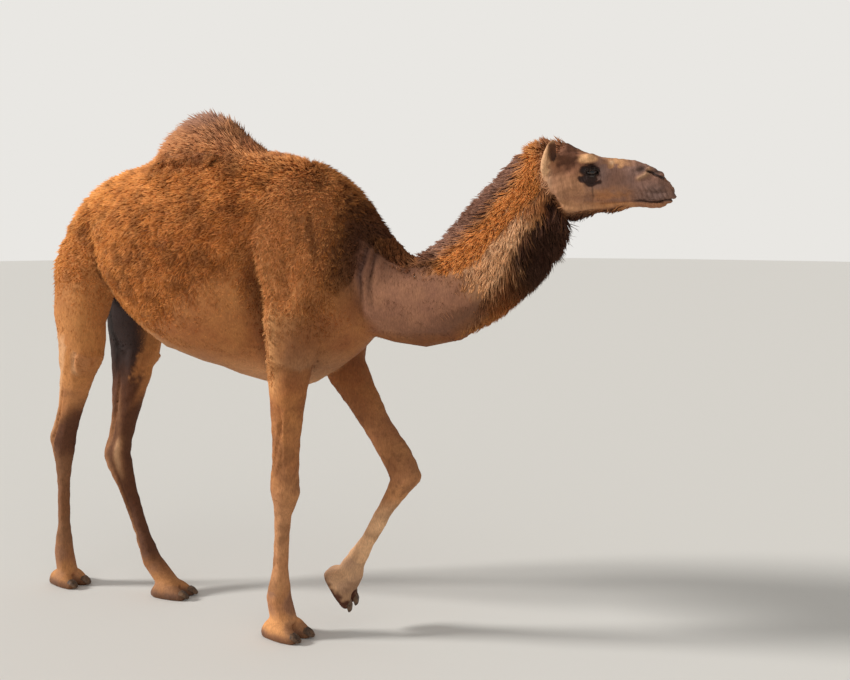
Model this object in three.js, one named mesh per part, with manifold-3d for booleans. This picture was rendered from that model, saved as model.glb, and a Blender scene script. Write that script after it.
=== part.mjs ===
// A dromedary camel at life size, in millimetres: +X is the way it faces, +Y its left, +Z up.
// It is caught in mid-stride. Three feet stand on the ground and the left forefoot is lifted.
// Every solid is the animal's outline out to the tips of its coat.
// The body is lofted from named stations, joined, and parted again by thin cuts.
import * as THREE from "three";
import { mergeVertices } from "three/addons/utils/BufferGeometryUtils.js";
import Module from "manifold-3d";

const wasm = await Module();
wasm.setup();

const gap = 0.4; // clearance left between neighbouring pieces
const left = 1;
const right = -1;

// ---------------------------------------------------------------- shared tools

const point = (x, y, z) => new THREE.Vector3(x, y, z);
const power = (value, exponent) => Math.sign(value) * Math.abs(value) ** exponent;

// A smooth run of one number through its stations, with share from 0 to 1.
function through(numbers, share) {
  const run = new THREE.SplineCurve(numbers.map((n, i) => new THREE.Vector2(i, n)));
  return run.getPoint(share).y;
}

// One closed tube. sections is a list of { at, a, b, plusA, minusA, plusB, minusB, ridge, keel }:
// a and b are unit directions across the tube, and ridge and keel pinch (over 1) or square
// (under 1) the +b and -b sides. roundStart and roundEnd are the lengths of its domed ends.
function loft(sections, { around, domeSteps = 1, roundStart = 0, roundEnd = 0, grow = 0 }) {
  const rings = [];
  const count = sections.length - 1;
  const pick = (key, fallback) => sections.map((s) => s[key] ?? fallback);
  const path = new THREE.CatmullRomCurve3(pick("at"), false, "catmullrom", 0.5);
  const sectionAt = (share, size, shift) => {
    const along = path.getTangent(share);
    const number = (key, fallback) => through(pick(key, fallback), share);
    const direction = (key) => {
      const parts = ["x", "y", "z"].map((axis) => through(sections.map((s) => s[key][axis]), share));
      return point(...parts).normalize();
    };
    const centre = path.getPoint(share).addScaledVector(along, shift);
    const a = direction("a");
    const b = direction("b");
    const reach = (key) => Math.max(number(key), 1) * size + grow;
    const ring = [];
    for (let i = 0; i < around; i++) {
      const turn = (i / around) * 2 * Math.PI;
      const [across, up] = [Math.cos(turn), Math.sin(turn)];
      const pinch = up > 0 ? number("ridge", 1) : number("keel", 1);
      ring.push(
        centre
          .clone()
          .addScaledVector(a, reach(across > 0 ? "plusA" : "minusA") * power(across, pinch))
          .addScaledVector(b, reach(up > 0 ? "plusB" : "minusB") * up),
      );
    }
    return ring;
  };
  for (let k = domeSteps; k > 0 && roundStart > 0; k--) {
    const turn = (k / (domeSteps + 1)) * (Math.PI / 2);
    rings.push(sectionAt(0, Math.cos(turn), -roundStart * Math.sin(turn)));
  }
  for (let i = 0; i <= count; i++) rings.push(sectionAt(i / count, 1, 0));
  for (let k = 1; k <= domeSteps && roundEnd > 0; k++) {
    const turn = (k / (domeSteps + 1)) * (Math.PI / 2);
    rings.push(sectionAt(1, Math.cos(turn), roundEnd * Math.sin(turn)));
  }
  const startPole = path.getPoint(0).addScaledVector(path.getTangent(0), -roundStart - grow);
  const endPole = path.getPoint(1).addScaledVector(path.getTangent(1), roundEnd + grow);
  return closedTube(rings, startPole, endPole);
}

function closedTube(rings, startPole, endPole) {
  const around = rings[0].length;
  const vertices = [startPole, ...rings.flat(), endPole];
  const at = (ring, i) => 1 + ring * around + (i % around);
  const last = vertices.length - 1;
  const index = [];
  for (let i = 0; i < around; i++) {
    index.push(0, at(0, i + 1), at(0, i));
    for (let r = 0; r + 1 < rings.length; r++) {
      index.push(at(r, i), at(r, i + 1), at(r + 1, i + 1));
      index.push(at(r, i), at(r + 1, i + 1), at(r + 1, i));
    }
    index.push(last, at(rings.length - 1, i), at(rings.length - 1, i + 1));
  }
  return new THREE.BufferGeometry().setFromPoints(vertices).setIndex(index);
}

// A manifold-3d solid of a closed geometry, turned to face out.
function solid(geometry) {
  const bare = geometry.clone();
  bare.deleteAttribute("normal");
  bare.deleteAttribute("uv");
  const merged = mergeVertices(bare, 1e-3);
  const mesh = (triVerts) =>
    new wasm.Mesh({ numProp: 3, vertProperties: merged.attributes.position.array, triVerts });
  const index = new Uint32Array(merged.index.array);
  const made = new wasm.Manifold(mesh(index));
  return made.volume() > 0 ? made : new wasm.Manifold(mesh(index.reverse()));
}

const join = (...solids) => solids.reduce((whole, s) => whole.add(s));
const cutAway = (from, ...solids) => solids.reduce((whole, s) => whole.subtract(s), from);

// The space on the side of a plane that its normal points to.
function beyond(at, normal) {
  const size = 6000;
  const box = new THREE.BoxGeometry(size, size, size).translate(0, 0, size / 2);
  const turn = new THREE.Quaternion().setFromUnitVectors(point(0, 0, 1), normal.clone().normalize());
  return solid(box.applyQuaternion(turn).translate(at.x, at.y, at.z));
}

// What lies on each side of a plane, with half the gap taken off both.
function part(whole, at, normal) {
  const step = normal.clone().setLength(gap / 2);
  const ahead = whole.intersect(beyond(at.clone().add(step), normal));
  const behind = whole.intersect(beyond(at.clone().sub(step), normal.clone().negate()));
  return [ahead, behind];
}

// The sections of a limb from one joint to the next. Stations give the share of the way along
// it and how far the surface stands before, behind and beside the bone.
function stretch(from, to, stations) {
  const along = to.clone().sub(from);
  const length = along.length();
  along.normalize();
  const forward = point(1, 0, 0).addScaledVector(along, -along.x).normalize();
  const side = new THREE.Vector3().crossVectors(forward, along);
  return stations.map(([share, before, behind, beside]) => ({
    at: from.clone().addScaledVector(along, share * length),
    a: forward,
    b: side,
    plusA: before,
    minusA: behind,
    plusB: beside,
    minusB: beside,
  }));
}

// ---------------------------------------------------------------- trunk and hump

const bodyPinch = { ridge: 1.12, keel: 0.95 };

// Stations from the rump to the breast:
// [x, height of the back, height of the belly, half width, height of the widest place]
const trunkStations = [
  [-612, 1588, 1300, 92, 1450],
  [-585, 1634, 1275, 138, 1450],
  [-510, 1704, 1262, 176, 1445],
  [-390, 1768, 1268, 212, 1435],
  [-300, 1793, 1262, 240, 1425],
  [-222, 1806, 1203, 276, 1410],
  [-150, 1817, 1142, 312, 1397],
  [-72, 1823, 1096, 336, 1391],
  [0, 1828, 1058, 352, 1385],
  [150, 1836, 1024, 360, 1370],
  [300, 1848, 990, 336, 1375],
  [410, 1840, 968, 300, 1390],
  [510, 1820, 962, 268, 1400],
  [600, 1796, 1000, 246, 1400],
  [690, 1742, 1060, 218, 1395],
  [770, 1680, 1122, 184, 1390],
];

function trunkLoft(grow = 0) {
  const sections = trunkStations.map(([x, back, belly, half, widest]) => ({
    at: point(x, 0, widest),
    a: point(0, 1, 0),
    b: point(0, 0, 1),
    plusA: half,
    minusA: half,
    plusB: back - widest,
    minusB: widest - belly,
    ridge: bodyPinch.ridge,
    keel: bodyPinch.keel,
  }));
  return solid(loft(sections, { around: 20, domeSteps: 2, roundStart: 42, roundEnd: 60, grow }));
}

// The hump stands on the back: [x, height of its crest, half width at its foot]
const hump = {
  foot: 1700,
  cutHeight: 1806,
  stations: [
    [-215, 1812, 60],
    [-140, 1862, 110],
    [-70, 1918, 150],
    [20, 1976, 176],
    [85, 1990, 182],
    [170, 1964, 176],
    [262, 1894, 156],
    [350, 1852, 110],
  ],
};

function humpLoft(grow = 0) {
  const sections = hump.stations.map(([x, crest, half]) => ({
    at: point(x, 0, hump.foot),
    a: point(0, 1, 0),
    b: point(0, 0, 1),
    plusA: half,
    minusA: half,
    plusB: crest - hump.foot,
    minusB: 40,
    ridge: 1.05,
    keel: 0.6,
  }));
  return solid(loft(sections, { around: 16, roundStart: 30, roundEnd: 40, grow }));
}

// ---------------------------------------------------------------- neck

// The neck sinks in front of the withers, then climbs to the poll and swings a little left:
// [x, y, z, slope of the neck in degrees, depth above, depth below, half width]
const neckStations = [
  [640, 0, 1425, -20, 285, 285, 205],
  [755, 0, 1415, -18, 214, 262, 174],
  [842, 2, 1378, -14, 172, 210, 148],
  [926, 6, 1334, -6, 162, 184, 126],
  [1014, 12, 1312, 5, 160, 168, 112],
  [1108, 20, 1330, 24, 168, 168, 104],
  [1192, 29, 1380, 38, 174, 165, 100],
  [1268, 38, 1442, 45, 186, 162, 98],
  [1338, 47, 1528, 50, 186, 182, 94],
  [1398, 56, 1618, 54, 162, 172, 88],
  [1436, 66, 1690, 52, 142, 150, 80],
];

function neckLoft() {
  const sections = neckStations.map(([x, y, z, degrees, above, below, half]) => {
    const slope = THREE.MathUtils.degToRad(degrees);
    return {
      at: point(x, y, z),
      a: point(0, 1, 0),
      b: point(-Math.sin(slope), 0, Math.cos(slope)),
      plusA: half,
      minusA: half,
      plusB: above,
      minusB: below,
    };
  });
  return solid(loft(sections, { around: 16, roundEnd: 30 }));
}

// ---------------------------------------------------------------- head

// The head is modelled along +X from the poll, then turned to its own heading.
const head = { pollX: 1400, pollY: 60, heading: 15 };

const headPlace = new THREE.Matrix4()
  .makeRotationZ(THREE.MathUtils.degToRad(head.heading))
  .setPosition(head.pollX, head.pollY, 0);
const onHead = (geometry) => geometry.applyMatrix4(headPlace);

// Skull, face and upper lip: [x, top, underside, half width, height of the widest place, pinch]
const faceStations = [
  [-48, 1800, 1690, 44, 1740, 1],
  [-10, 1846, 1640, 76, 1735, 1],
  [45, 1866, 1612, 90, 1735, 0.95],
  [110, 1862, 1618, 93, 1735, 0.92],
  [160, 1832, 1640, 92, 1745, 0.9],
  [205, 1813, 1650, 88, 1752, 0.85],
  [250, 1801, 1655, 73, 1748, 0.88],
  [305, 1796, 1658, 57, 1730, 0.9],
  [360, 1787, 1660, 50, 1722, 0.88],
  [405, 1770, 1658, 52, 1712, 0.85],
  [440, 1745, 1654, 50, 1702, 0.85],
  [464, 1716, 1649, 41, 1688, 0.9],
];

// Lower jaw: [x, top, underside, half width]
const jawStations = [
  [40, 1700, 1586, 62],
  [100, 1690, 1574, 68],
  [160, 1680, 1584, 62],
  [215, 1673, 1602, 50],
  [300, 1668, 1625, 37],
  [345, 1666, 1636, 33],
  [380, 1664, 1638, 35],
  [408, 1662, 1634, 37],
  [434, 1658, 1639, 32],
];

function faceLoft(grow = 0) {
  const sections = faceStations.map(([x, top, under, half, widest, pinch]) => ({
    at: point(x, 0, widest),
    a: point(0, 1, 0),
    b: point(0, 0, 1),
    plusA: half,
    minusA: half,
    plusB: top - widest,
    minusB: widest - under,
    ridge: pinch,
    keel: 0.85,
  }));
  return solid(onHead(loft(sections, { around: 16, roundStart: 18, roundEnd: 23, grow })));
}

function jawLoft() {
  const sections = jawStations.map(([x, top, under, half]) => ({
    at: point(x, 0, (top + under) / 2),
    a: point(0, 1, 0),
    b: point(0, 0, 1),
    plusA: half,
    minusA: half,
    plusB: (top - under) / 2,
    minusB: (top - under) / 2,
    keel: 0.9,
  }));
  return solid(onHead(loft(sections, { around: 10, roundEnd: 18 })));
}

const eye = { radius: 21, x: 219, out: 70, z: 1749 };

function eyeBall(side, grow = 0) {
  const ball = new THREE.SphereGeometry(eye.radius + grow, 10, 6);
  return solid(onHead(ball.translate(eye.x, side * eye.out, eye.z)));
}

// The brow stands over the eye, and the nostril's wing out from the muzzle.
function faceBump(side, { x, out, z, long, wide, tall }, grow = 0) {
  const bump = new THREE.SphereGeometry(1, 8, 6).scale(long + grow, wide + grow, tall + grow);
  return solid(onHead(bump.translate(x, side * out, z)));
}
const brow = { x: 208, out: 60, z: 1780, long: 44, wide: 26, tall: 24 };
const nostrilWing = { x: 418, out: 33, z: 1722, long: 38, wide: 19, tall: 26 };

// The ear is a leaf with a hollow front: [share of its length, half width, half thickness]
const ear = {
  root: [66, 76, 1738],
  tip: [97, 112, 1850],
  leaf: [
    [0, 17, 15],
    [0.2, 24, 19],
    [0.45, 28, 19],
    [0.7, 26, 15],
    [0.9, 19, 9],
    [1, 11, 6],
  ],
  hollowShare: 0.66, // of the leaf's width and length that the hollow takes
  hollowShift: 15,
};

function earSolid(side, grow = 0) {
  const root = point(ear.root[0], side * ear.root[1], ear.root[2]);
  const tip = point(ear.tip[0], side * ear.tip[1], ear.tip[2]);
  const along = tip.clone().sub(root);
  const front = point(0.8, side * 0.6, 0).addScaledVector(along, -0.2 / along.length()).normalize();
  const across = new THREE.Vector3().crossVectors(along, front).normalize();
  const leaf = (share, shift, from) =>
    ear.leaf.map(([at, half, thick]) => ({
      at: root
        .clone()
        .addScaledVector(along, from + at * (1 - from) * (from ? 0.92 : 1))
        .addScaledVector(front, shift),
      a: across,
      b: front,
      plusA: half * share,
      minusA: half * share,
      plusB: thick * share,
      minusB: thick * share,
    }));
  const body = solid(onHead(loft(leaf(1, 0, 0), { around: 9, roundStart: 4, roundEnd: 4, grow })));
  const hollow = leaf(ear.hollowShare, ear.hollowShift, 0.2);
  return body.subtract(solid(onHead(loft(hollow, { around: 6, roundEnd: 2 }))));
}

// ---------------------------------------------------------------- tail

const tailStations = [
  [-606, 1572, 42],
  [-658, 1538, 37],
  [-689, 1462, 31],
  [-694, 1330, 26],
  [-694, 1210, 26],
  [-690, 1120, 30],
  [-684, 1050, 18],
];
const tailCut = { at: point(-682, 0, 1478), normal: point(-0.3, 0, -0.95) }; // below the dock

function tailLoft() {
  const centres = tailStations.map(([x, z]) => point(x, 0, z));
  const sections = tailStations.map(([, , radius], i) => {
    const before = centres[Math.max(i - 1, 0)];
    const after = centres[Math.min(i + 1, centres.length - 1)];
    const way = after.clone().sub(before).normalize();
    return {
      at: centres[i],
      a: point(0, 1, 0),
      b: point(way.z, 0, -way.x),
      plusA: radius,
      minusA: radius,
      plusB: radius,
      minusB: radius,
    };
  });
  return solid(loft(sections, { around: 8, roundEnd: 40 }));
}

// ---------------------------------------------------------------- legs

// Stations along a stretch of limb: [share, before, behind, beside]
const foreShapes = {
  shoulder: [
    [0, 80, 95, 48],
    [0.3, 122, 128, 86],
    [0.6, 128, 138, 98],
    [0.84, 110, 125, 86],
  ],
  forearm: [
    [0.1, 90, 90, 66],
    [0.32, 72, 70, 54],
    [0.6, 54, 55, 45],
    [0.83, 55, 52, 47],
    [0.96, 62, 55, 54],
    [1.06, 58, 44, 50],
  ],
  cannon: [
    [-0.04, 56, 46, 46],
    [0.06, 56, 44, 44],
    [0.17, 44, 38, 36],
    [0.34, 31, 34, 29],
    [0.7, 29, 33, 29],
    [0.88, 41, 48, 43],
    [1, 48, 56, 50],
  ],
  foot: { length: 188, toeWidth: 76, height: 84, pasternHalf: 46 },
};
const hindShapes = {
  thigh: [
    [0, 110, 150, 66],
    [0.25, 140, 186, 92],
    [0.55, 112, 176, 96],
    [0.82, 80, 168, 84],
  ],
  gaskin: [
    [0.08, 86, 136, 72],
    [0.34, 62, 94, 56],
    [0.66, 50, 64, 42],
    [0.86, 48, 67, 38],
    [0.98, 56, 76, 42],
    [1.06, 50, 62, 38],
  ],
  cannon: [
    [-0.04, 52, 62, 40],
    [0.06, 52, 58, 40],
    [0.18, 40, 40, 34],
    [0.34, 27, 30, 26],
    [0.72, 27, 29, 26],
    [0.89, 37, 41, 36],
    [1, 43, 47, 42],
  ],
  foot: { length: 178, toeWidth: 66, height: 74, pasternHalf: 40 },
};

// The left hind leg stands forward under the weight, fuller than the right one.
const bearingShapes = {
  thigh: [
    [0, 110, 130, 66],
    [0.25, 150, 165, 92],
    [0.55, 164, 172, 98],
    [0.82, 136, 168, 90],
  ],
  gaskin: [
    [0.08, 94, 158, 72],
    [0.34, 73, 116, 56],
    [0.66, 53, 76, 42],
    [0.86, 48, 72, 38],
    [0.98, 58, 84, 42],
    [1.06, 54, 74, 38],
  ],
  cannon: [
    [-0.04, 57, 74, 40],
    [0.06, 59, 78, 40],
    [0.18, 49, 66, 34],
    [0.34, 33, 54, 27],
    [0.72, 23, 46, 26],
    [0.89, 31, 47, 36],
    [1, 37, 48, 42],
  ],
  foot: hindShapes.foot,
};

// The lifted foreleg: its bent knee stands forward, its fetlock is slack and its pad not spread.
const liftedShapes = {
  shoulder: foreShapes.shoulder,
  forearm: [
    [0.1, 90, 90, 66],
    [0.32, 72, 70, 54],
    [0.6, 57, 55, 45],
    [0.83, 72, 52, 47],
    [0.96, 69, 55, 54],
    [1.06, 58, 44, 50],
  ],
  cannon: [
    [-0.04, 56, 46, 46],
    [0.06, 56, 44, 44],
    [0.17, 44, 38, 36],
    [0.34, 31, 34, 29],
    [0.7, 28, 32, 28],
    [0.88, 32, 44, 38],
    [1, 36, 52, 44],
  ],
  foot: { ...foreShapes.foot, length: 168 },
};

// One foot in its own frame: the sole on z = 0 and the toes along +X, about the given centre.
// Two rounded toes lie side by side and share the pad of the heel, each with a nail at its tip.
function toeLoft(size, side, grow = 0) {
  const stations = [
    [-0.47, 0.6, 0.42, 0.52],
    [-0.32, 1.06, 0.82, 0.74],
    [-0.05, 1.12, 1, 0.88],
    [0.16, 1.04, 0.84, 0.98],
    [0.42, 0.74, 0.44, 1.04],
  ];
  const half = size.toeWidth / 2;
  const centreHeight = 0.22 * size.height;
  const sections = stations.map(([along, wide, tall, out]) => ({
    at: point(along * size.length, side * half * out, centreHeight),
    a: point(0, 1, 0),
    b: point(0, 0, 1),
    plusA: half * wide,
    minusA: half * wide,
    plusB: size.height * tall - centreHeight,
    minusB: centreHeight + 6,
    keel: 0.6,
  }));
  return solid(loft(sections, { around: 8, roundEnd: 16, grow }));
}

function nailLoft(size, side) {
  const half = size.toeWidth / 2;
  const reach = size.length * 0.45;
  const sections = [
    [reach - 14, 0.66, 14, 28],
    [reach + 6, 0.6, 13, 23],
    [reach + 20, 0.42, 9, 15],
  ].map(([x, wide, tall, z]) => ({
    at: point(x, side * half * 1.03, z),
    a: point(0, 1, 0),
    b: point(0, 0, 1),
    plusA: half * wide,
    minusA: half * wide,
    plusB: tall,
    minusB: tall * 0.9,
  }));
  return solid(loft(sections, { around: 6, roundEnd: 6 }));
}

// The foot's solids under its ankle, placed in the world by the given matrix.
function foot(size, place, ankle) {
  const inverse = place.clone().invert();
  const top = ankle.clone().applyMatrix4(inverse);
  const floor = beyond(point(0, 0, 0), point(0, 0, 1));
  const pasternEnds = [
    [top, 1.04],
    [point(0, 0, size.height * 0.5), 1.12],
  ].map(([at, share]) => ({
    at,
    a: point(0, 1, 0),
    b: point(1, 0, 0.35).normalize(),
    plusA: size.pasternHalf * share,
    minusA: size.pasternHalf * share,
    plusB: size.pasternHalf * share * 1.08,
    minusB: size.pasternHalf * share * 1.12,
  }));
  const pastern = solid(loft(pasternEnds, { around: 9, roundStart: 26 }));
  const toes = [left, right].map((side) => toeLoft(size, side));
  const flesh = join(pastern, ...toes).intersect(floor);
  const nails = [left, right].map((side) => nailLoft(size, side).subtract(toeLoft(size, side, gap)));
  const elements = place.elements;
  return { flesh: flesh.transform(elements), nails: nails.map((n) => n.transform(elements)) };
}

// A standing foot's place: its centre on the ground and the way its toes point, in degrees.
function standing(x, y, toesOut) {
  return new THREE.Matrix4()
    .makeRotationZ(THREE.MathUtils.degToRad(toesOut))
    .setPosition(x, y, 0);
}

// The lifted foot hangs from its ankle with its toes down.
function hanging(ankle, ankleInFoot, toesDown, toesOut) {
  const turn = new THREE.Matrix4()
    .makeRotationZ(THREE.MathUtils.degToRad(toesOut))
    .multiply(new THREE.Matrix4().makeRotationY(THREE.MathUtils.degToRad(toesDown)));
  const origin = ankle.clone().sub(ankleInFoot.applyMatrix4(turn));
  return turn.setPosition(origin.x, origin.y, origin.z);
}

// The joints of each leg, from the trunk to the ground.
const legs = {
  foreleg_right: {
    shapes: foreShapes,
    joints: [point(650, -148, 1565), point(566, -168, 1090), point(488, -104, 588), point(432, -68, 142)],
    foot: standing(452, -62, -6),
  },
  foreleg_left: {
    shapes: liftedShapes,
    joints: [point(650, 148, 1565), point(562, 164, 1062), point(884, 112, 644), point(664, 94, 262)],
    foot: hanging(point(664, 94, 262), point(-32, 0, 106), 55, 15),
  },
  hindleg_right: {
    shapes: hindShapes,
    joints: [point(-450, -122, 1500), point(-442, -164, 1090), point(-688, -76, 640), point(-748, -40, 138)],
    foot: standing(-746, -26, -8),
  },
  hindleg_left: {
    shapes: bearingShapes,
    joints: [point(-445, 122, 1500), point(-466, 164, 1044), point(-552, 104, 564), point(-346, 78, 134)],
    foot: standing(-246, 78, 8),
  },
};

// Each leg: the part of it that belongs to the trunk, and the free limb in three lengths.
function makeLeg({ shapes, joints, foot: place }) {
  const [top, elbow, knee, ankle] = joints;
  const upper = shapes.shoulder ?? shapes.thigh;
  const middle = shapes.forearm ?? shapes.gaskin;
  const thick = [...stretch(top, elbow, upper), ...stretch(elbow, knee, middle)];
  const thigh = solid(loft(thick, { around: 10, roundStart: 60, roundEnd: 24 }));
  const cannon = solid(loft(stretch(knee, ankle, shapes.cannon), { around: 9, roundEnd: 24 }));
  const { flesh, nails } = foot(shapes.foot, place, ankle);
  const cannonWay = ankle.clone().sub(knee);
  const elbowWay = knee.clone().sub(elbow);
  const elbowCut = elbow.clone().addScaledVector(elbowWay, 0.04);
  const kneeCut = knee.clone().addScaledVector(cannonWay, 0.1);
  const ankleCut = ankle.clone().addScaledVector(cannonWay, -0.1);
  const [free, girdle] = part(thigh, elbowCut, elbowWay);
  const shank = join(free, cannon);
  const [below, upperLength] = part(shank, kneeCut, cannonWay);
  const whole = join(below, flesh);
  const [footPiece, lowerLength] = part(whole, ankleCut, cannonWay);
  return {
    girdle,
    upper: upperLength,
    lower: lowerLength,
    foot: footPiece,
    nails,
  };
}

// ---------------------------------------------------------------- the whole animal

const coat = (color, roughness) => new THREE.MeshStandardMaterial({ color, roughness, metalness: 0 });
const materials = {
  wool: coat(0x9a5f34, 0.95),
  darkWool: coat(0x6d4329, 0.95),
  shortCoat: coat(0xb27c4f, 0.9),
  face: coat(0x8d674c, 0.85),
  eye: coat(0x1c120c, 0.15),
  nail: coat(0x3d332b, 0.55),
};

const made = Object.fromEntries(Object.entries(legs).map(([name, leg]) => [name, makeLeg(leg)]));
const trunkGrown = trunkLoft(gap);

const humpTop = humpLoft().intersect(beyond(point(0, 0, hump.cutHeight), point(0, 0, 1)));
const humpRoom = humpLoft(gap).intersect(beyond(point(0, 0, hump.cutHeight - gap), point(0, 0, 1)));

const neckCut = { at: point(838, 0, 1380), normal: point(1, 0, 0.08) };
const midNeckCut = { at: point(1225, 33, 1405), normal: point(0.72, 0.1, 0.69) };
const pollCut = { at: point(1428, 64, 1690), normal: point(0.9, 0.2, 0.36) };
const gapeX = 215; // where the lips part, along the head from the poll

const face = join(
  faceLoft(),
  ...[left, right].flatMap((side) => [faceBump(side, brow), faceBump(side, nostrilWing)]),
);
const faceGrown = join(
  faceLoft(gap),
  ...[left, right].map((side) => faceBump(side, nostrilWing, gap)),
);
const gapeAt = point(gapeX, 0, 1650).applyMatrix4(headPlace);
const headWay = point(1, 0, 0).transformDirection(headPlace);
const [jawFree, jawRoot] = part(jawLoft(), gapeAt, headWay);

const foreBody = join(trunkLoft(), neckLoft(), face, jawRoot);
const [neckAndHead, trunkAlone] = part(foreBody, neckCut.at, neckCut.normal);
const [upperNeckAndHead, lowerNeck] = part(neckAndHead, midNeckCut.at, midNeckCut.normal);
const [headAlone, upperNeck] = part(upperNeckAndHead, pollCut.at, pollCut.normal);

const girdles = Object.values(made).map((leg) => leg.girdle);
const girdlesBehindNeck = girdles.map((g) => part(g, neckCut.at, neckCut.normal)[1]);
const [tail, dock] = part(tailLoft(), tailCut.at, tailCut.normal);
const trunk = join(trunkAlone, dock, ...girdlesBehindNeck).subtract(humpRoom);
const eyeRoom = [left, right].map((side) => eyeBall(side, gap));

const camel = new THREE.Group();

function add(name, shape, material) {
  const { vertProperties, triVerts } = shape.getMesh();
  const geometry = new THREE.BufferGeometry();
  geometry.setAttribute("position", new THREE.BufferAttribute(vertProperties, 3));
  geometry.setIndex(new THREE.BufferAttribute(triVerts, 1));
  const mesh = new THREE.Mesh(geometry, material);
  mesh.name = name;
  camel.add(mesh);
}

const largest = (shape) => shape.decompose().sort((a, b) => b.volume() - a.volume())[0];

add("trunk", trunk, materials.wool);
add("hump", humpTop, materials.darkWool);
add("neck_lower", lowerNeck, materials.wool);
add("neck_upper", upperNeck, materials.darkWool);
add("head", cutAway(headAlone, ...eyeRoom), materials.face);
add("lower_jaw", largest(jawFree.subtract(faceGrown)), materials.face);
add("tail", largest(tail), materials.wool);
for (const [side, word] of [
  [left, "left"],
  [right, "right"],
]) {
  add(`eye_${word}`, eyeBall(side), materials.eye);
  add(`ear_${word}`, largest(cutAway(earSolid(side), faceLoft(gap))), materials.face);
}
for (const [name, leg] of Object.entries(made)) {
  add(`${name}_upper`, largest(cutAway(leg.upper, trunkGrown)), materials.shortCoat);
  add(`${name}_lower`, leg.lower, materials.shortCoat);
  add(`${name}_foot`, leg.foot, materials.shortCoat);
  leg.nails.forEach((nail, i) => add(`${name}_nail_${i + 1}`, largest(nail), materials.nail));
}

// The part's origin is on the ground under the middle of its box.
const middle = new THREE.Box3().setFromObject(camel).getCenter(new THREE.Vector3());
for (const mesh of camel.children) mesh.geometry.translate(-middle.x, -middle.y, 0);

export default camel;
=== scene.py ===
import math
from functools import reduce

import bmesh
import bpy
import numpy as np
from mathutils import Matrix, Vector
from mathutils.bvhtree import BVHTree
from mathutils.kdtree import KDTree


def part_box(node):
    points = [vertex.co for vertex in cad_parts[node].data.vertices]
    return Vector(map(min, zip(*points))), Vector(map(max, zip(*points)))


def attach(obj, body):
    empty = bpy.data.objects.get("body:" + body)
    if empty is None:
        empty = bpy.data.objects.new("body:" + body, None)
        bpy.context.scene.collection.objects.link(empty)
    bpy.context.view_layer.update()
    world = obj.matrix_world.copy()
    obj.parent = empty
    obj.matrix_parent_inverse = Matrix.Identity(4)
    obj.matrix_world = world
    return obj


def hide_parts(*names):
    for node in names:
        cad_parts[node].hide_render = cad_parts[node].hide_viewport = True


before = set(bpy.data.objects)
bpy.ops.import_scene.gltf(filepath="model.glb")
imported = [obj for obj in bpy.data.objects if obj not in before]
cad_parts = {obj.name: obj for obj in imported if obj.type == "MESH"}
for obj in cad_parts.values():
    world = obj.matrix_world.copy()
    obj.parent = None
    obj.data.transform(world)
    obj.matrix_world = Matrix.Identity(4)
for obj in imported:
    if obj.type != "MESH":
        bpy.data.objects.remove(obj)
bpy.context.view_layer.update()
scene = bpy.context.scene
print("camel: frame loaded")


# ---------- small helpers

def tone(code):  # a display colour, as two hex digits each, in linear values
    parts = [int(code[i:i + 2], 16) / 255 for i in (0, 2, 4)]
    return [p / 12.92 if p <= 0.04045 else ((p + 0.055) / 1.055) ** 2.4 for p in parts] + [1]


def rise(value, low, high):  # 0 at low, 1 at high, and smooth between them
    t = np.clip((value - low) / (high - low), 0, 1)
    return t * t * (3 - 2 * t)


def span(value, start, full, fade, end):  # 1 from full to fade, and 0 before start and after end
    return rise(value, start, full) * rise(value, end, fade)


def hill(value, middle, width):  # 1 at the middle, falling off over the width
    return np.exp(-((value - middle) / width) ** 2)


def waves(value, length, wander=0):
    return np.sin(value * 2 * math.pi / length + wander)


def most(*values):
    return reduce(np.maximum, values)


def ripple(p, size, seed):  # smooth wandering values, mostly between -1 and 1
    rng = np.random.default_rng(seed)
    total = np.zeros(len(p))
    for _ in range(10):
        way = rng.normal(size=3)
        way *= 2 * math.pi / size * rng.uniform(0.6, 1.5) / np.linalg.norm(way)
        total += np.sin(p @ way + rng.uniform(0, 6.3))
    return total / 3


def patches(p, size, seed):  # the same, mostly between 0 and 1
    return 0.5 + 0.5 * ripple(p, size, seed)


def unit(v):
    return v / np.maximum(np.linalg.norm(v, axis=-1, keepdims=True), 1e-9)


def rows(source, field, width, kind=float):  # a mesh's values, one row for each element
    values = np.zeros(len(source) * width, kind)
    source.foreach_get(field, values)
    return values.reshape(-1, width)


def placesOf(mesh):
    return rows(mesh.vertices, "co", 3)


def normalsOf(mesh):
    return rows(mesh.vertex_normals, "vector", 3)


def movePoints(mesh, co):
    mesh.vertices.foreach_set("co", co.ravel())
    mesh.update()


def roundShade(mesh):
    mesh.polygons.foreach_set("use_smooth", np.ones(len(mesh.polygons), bool))


def meshOf(bm, name):
    mesh = bpy.data.meshes.new(name)
    bm.to_mesh(mesh)
    bm.free()
    return mesh


def meshFrom(name, verts, faces, outward=True):
    mesh = bpy.data.meshes.new(name)
    mesh.from_pydata(verts, [], faces)
    if outward:
        bm = bmesh.new()
        bm.from_mesh(mesh)
        bmesh.ops.recalc_face_normals(bm, faces=bm.faces)
        bm.to_mesh(mesh)
        bm.free()
    return mesh


def weldedSolid(node):
    bm = bmesh.new()
    bm.from_mesh(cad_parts[node].data)
    bmesh.ops.remove_doubles(bm, verts=bm.verts, dist=1e-5)
    return bm


def addTo(bm, part, name):  # moves one bmesh into another
    mesh = meshOf(part, name)
    bm.from_mesh(mesh)
    bpy.data.meshes.remove(mesh)


def addObject(name, mesh):
    made = bpy.data.objects.new(name, mesh)
    scene.collection.objects.link(made)
    return made


def modify(ob, kind, **settings):
    made = ob.modifiers.new(kind.lower(), kind)
    for key, value in settings.items():
        setattr(made, key, value)
    return made


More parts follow.
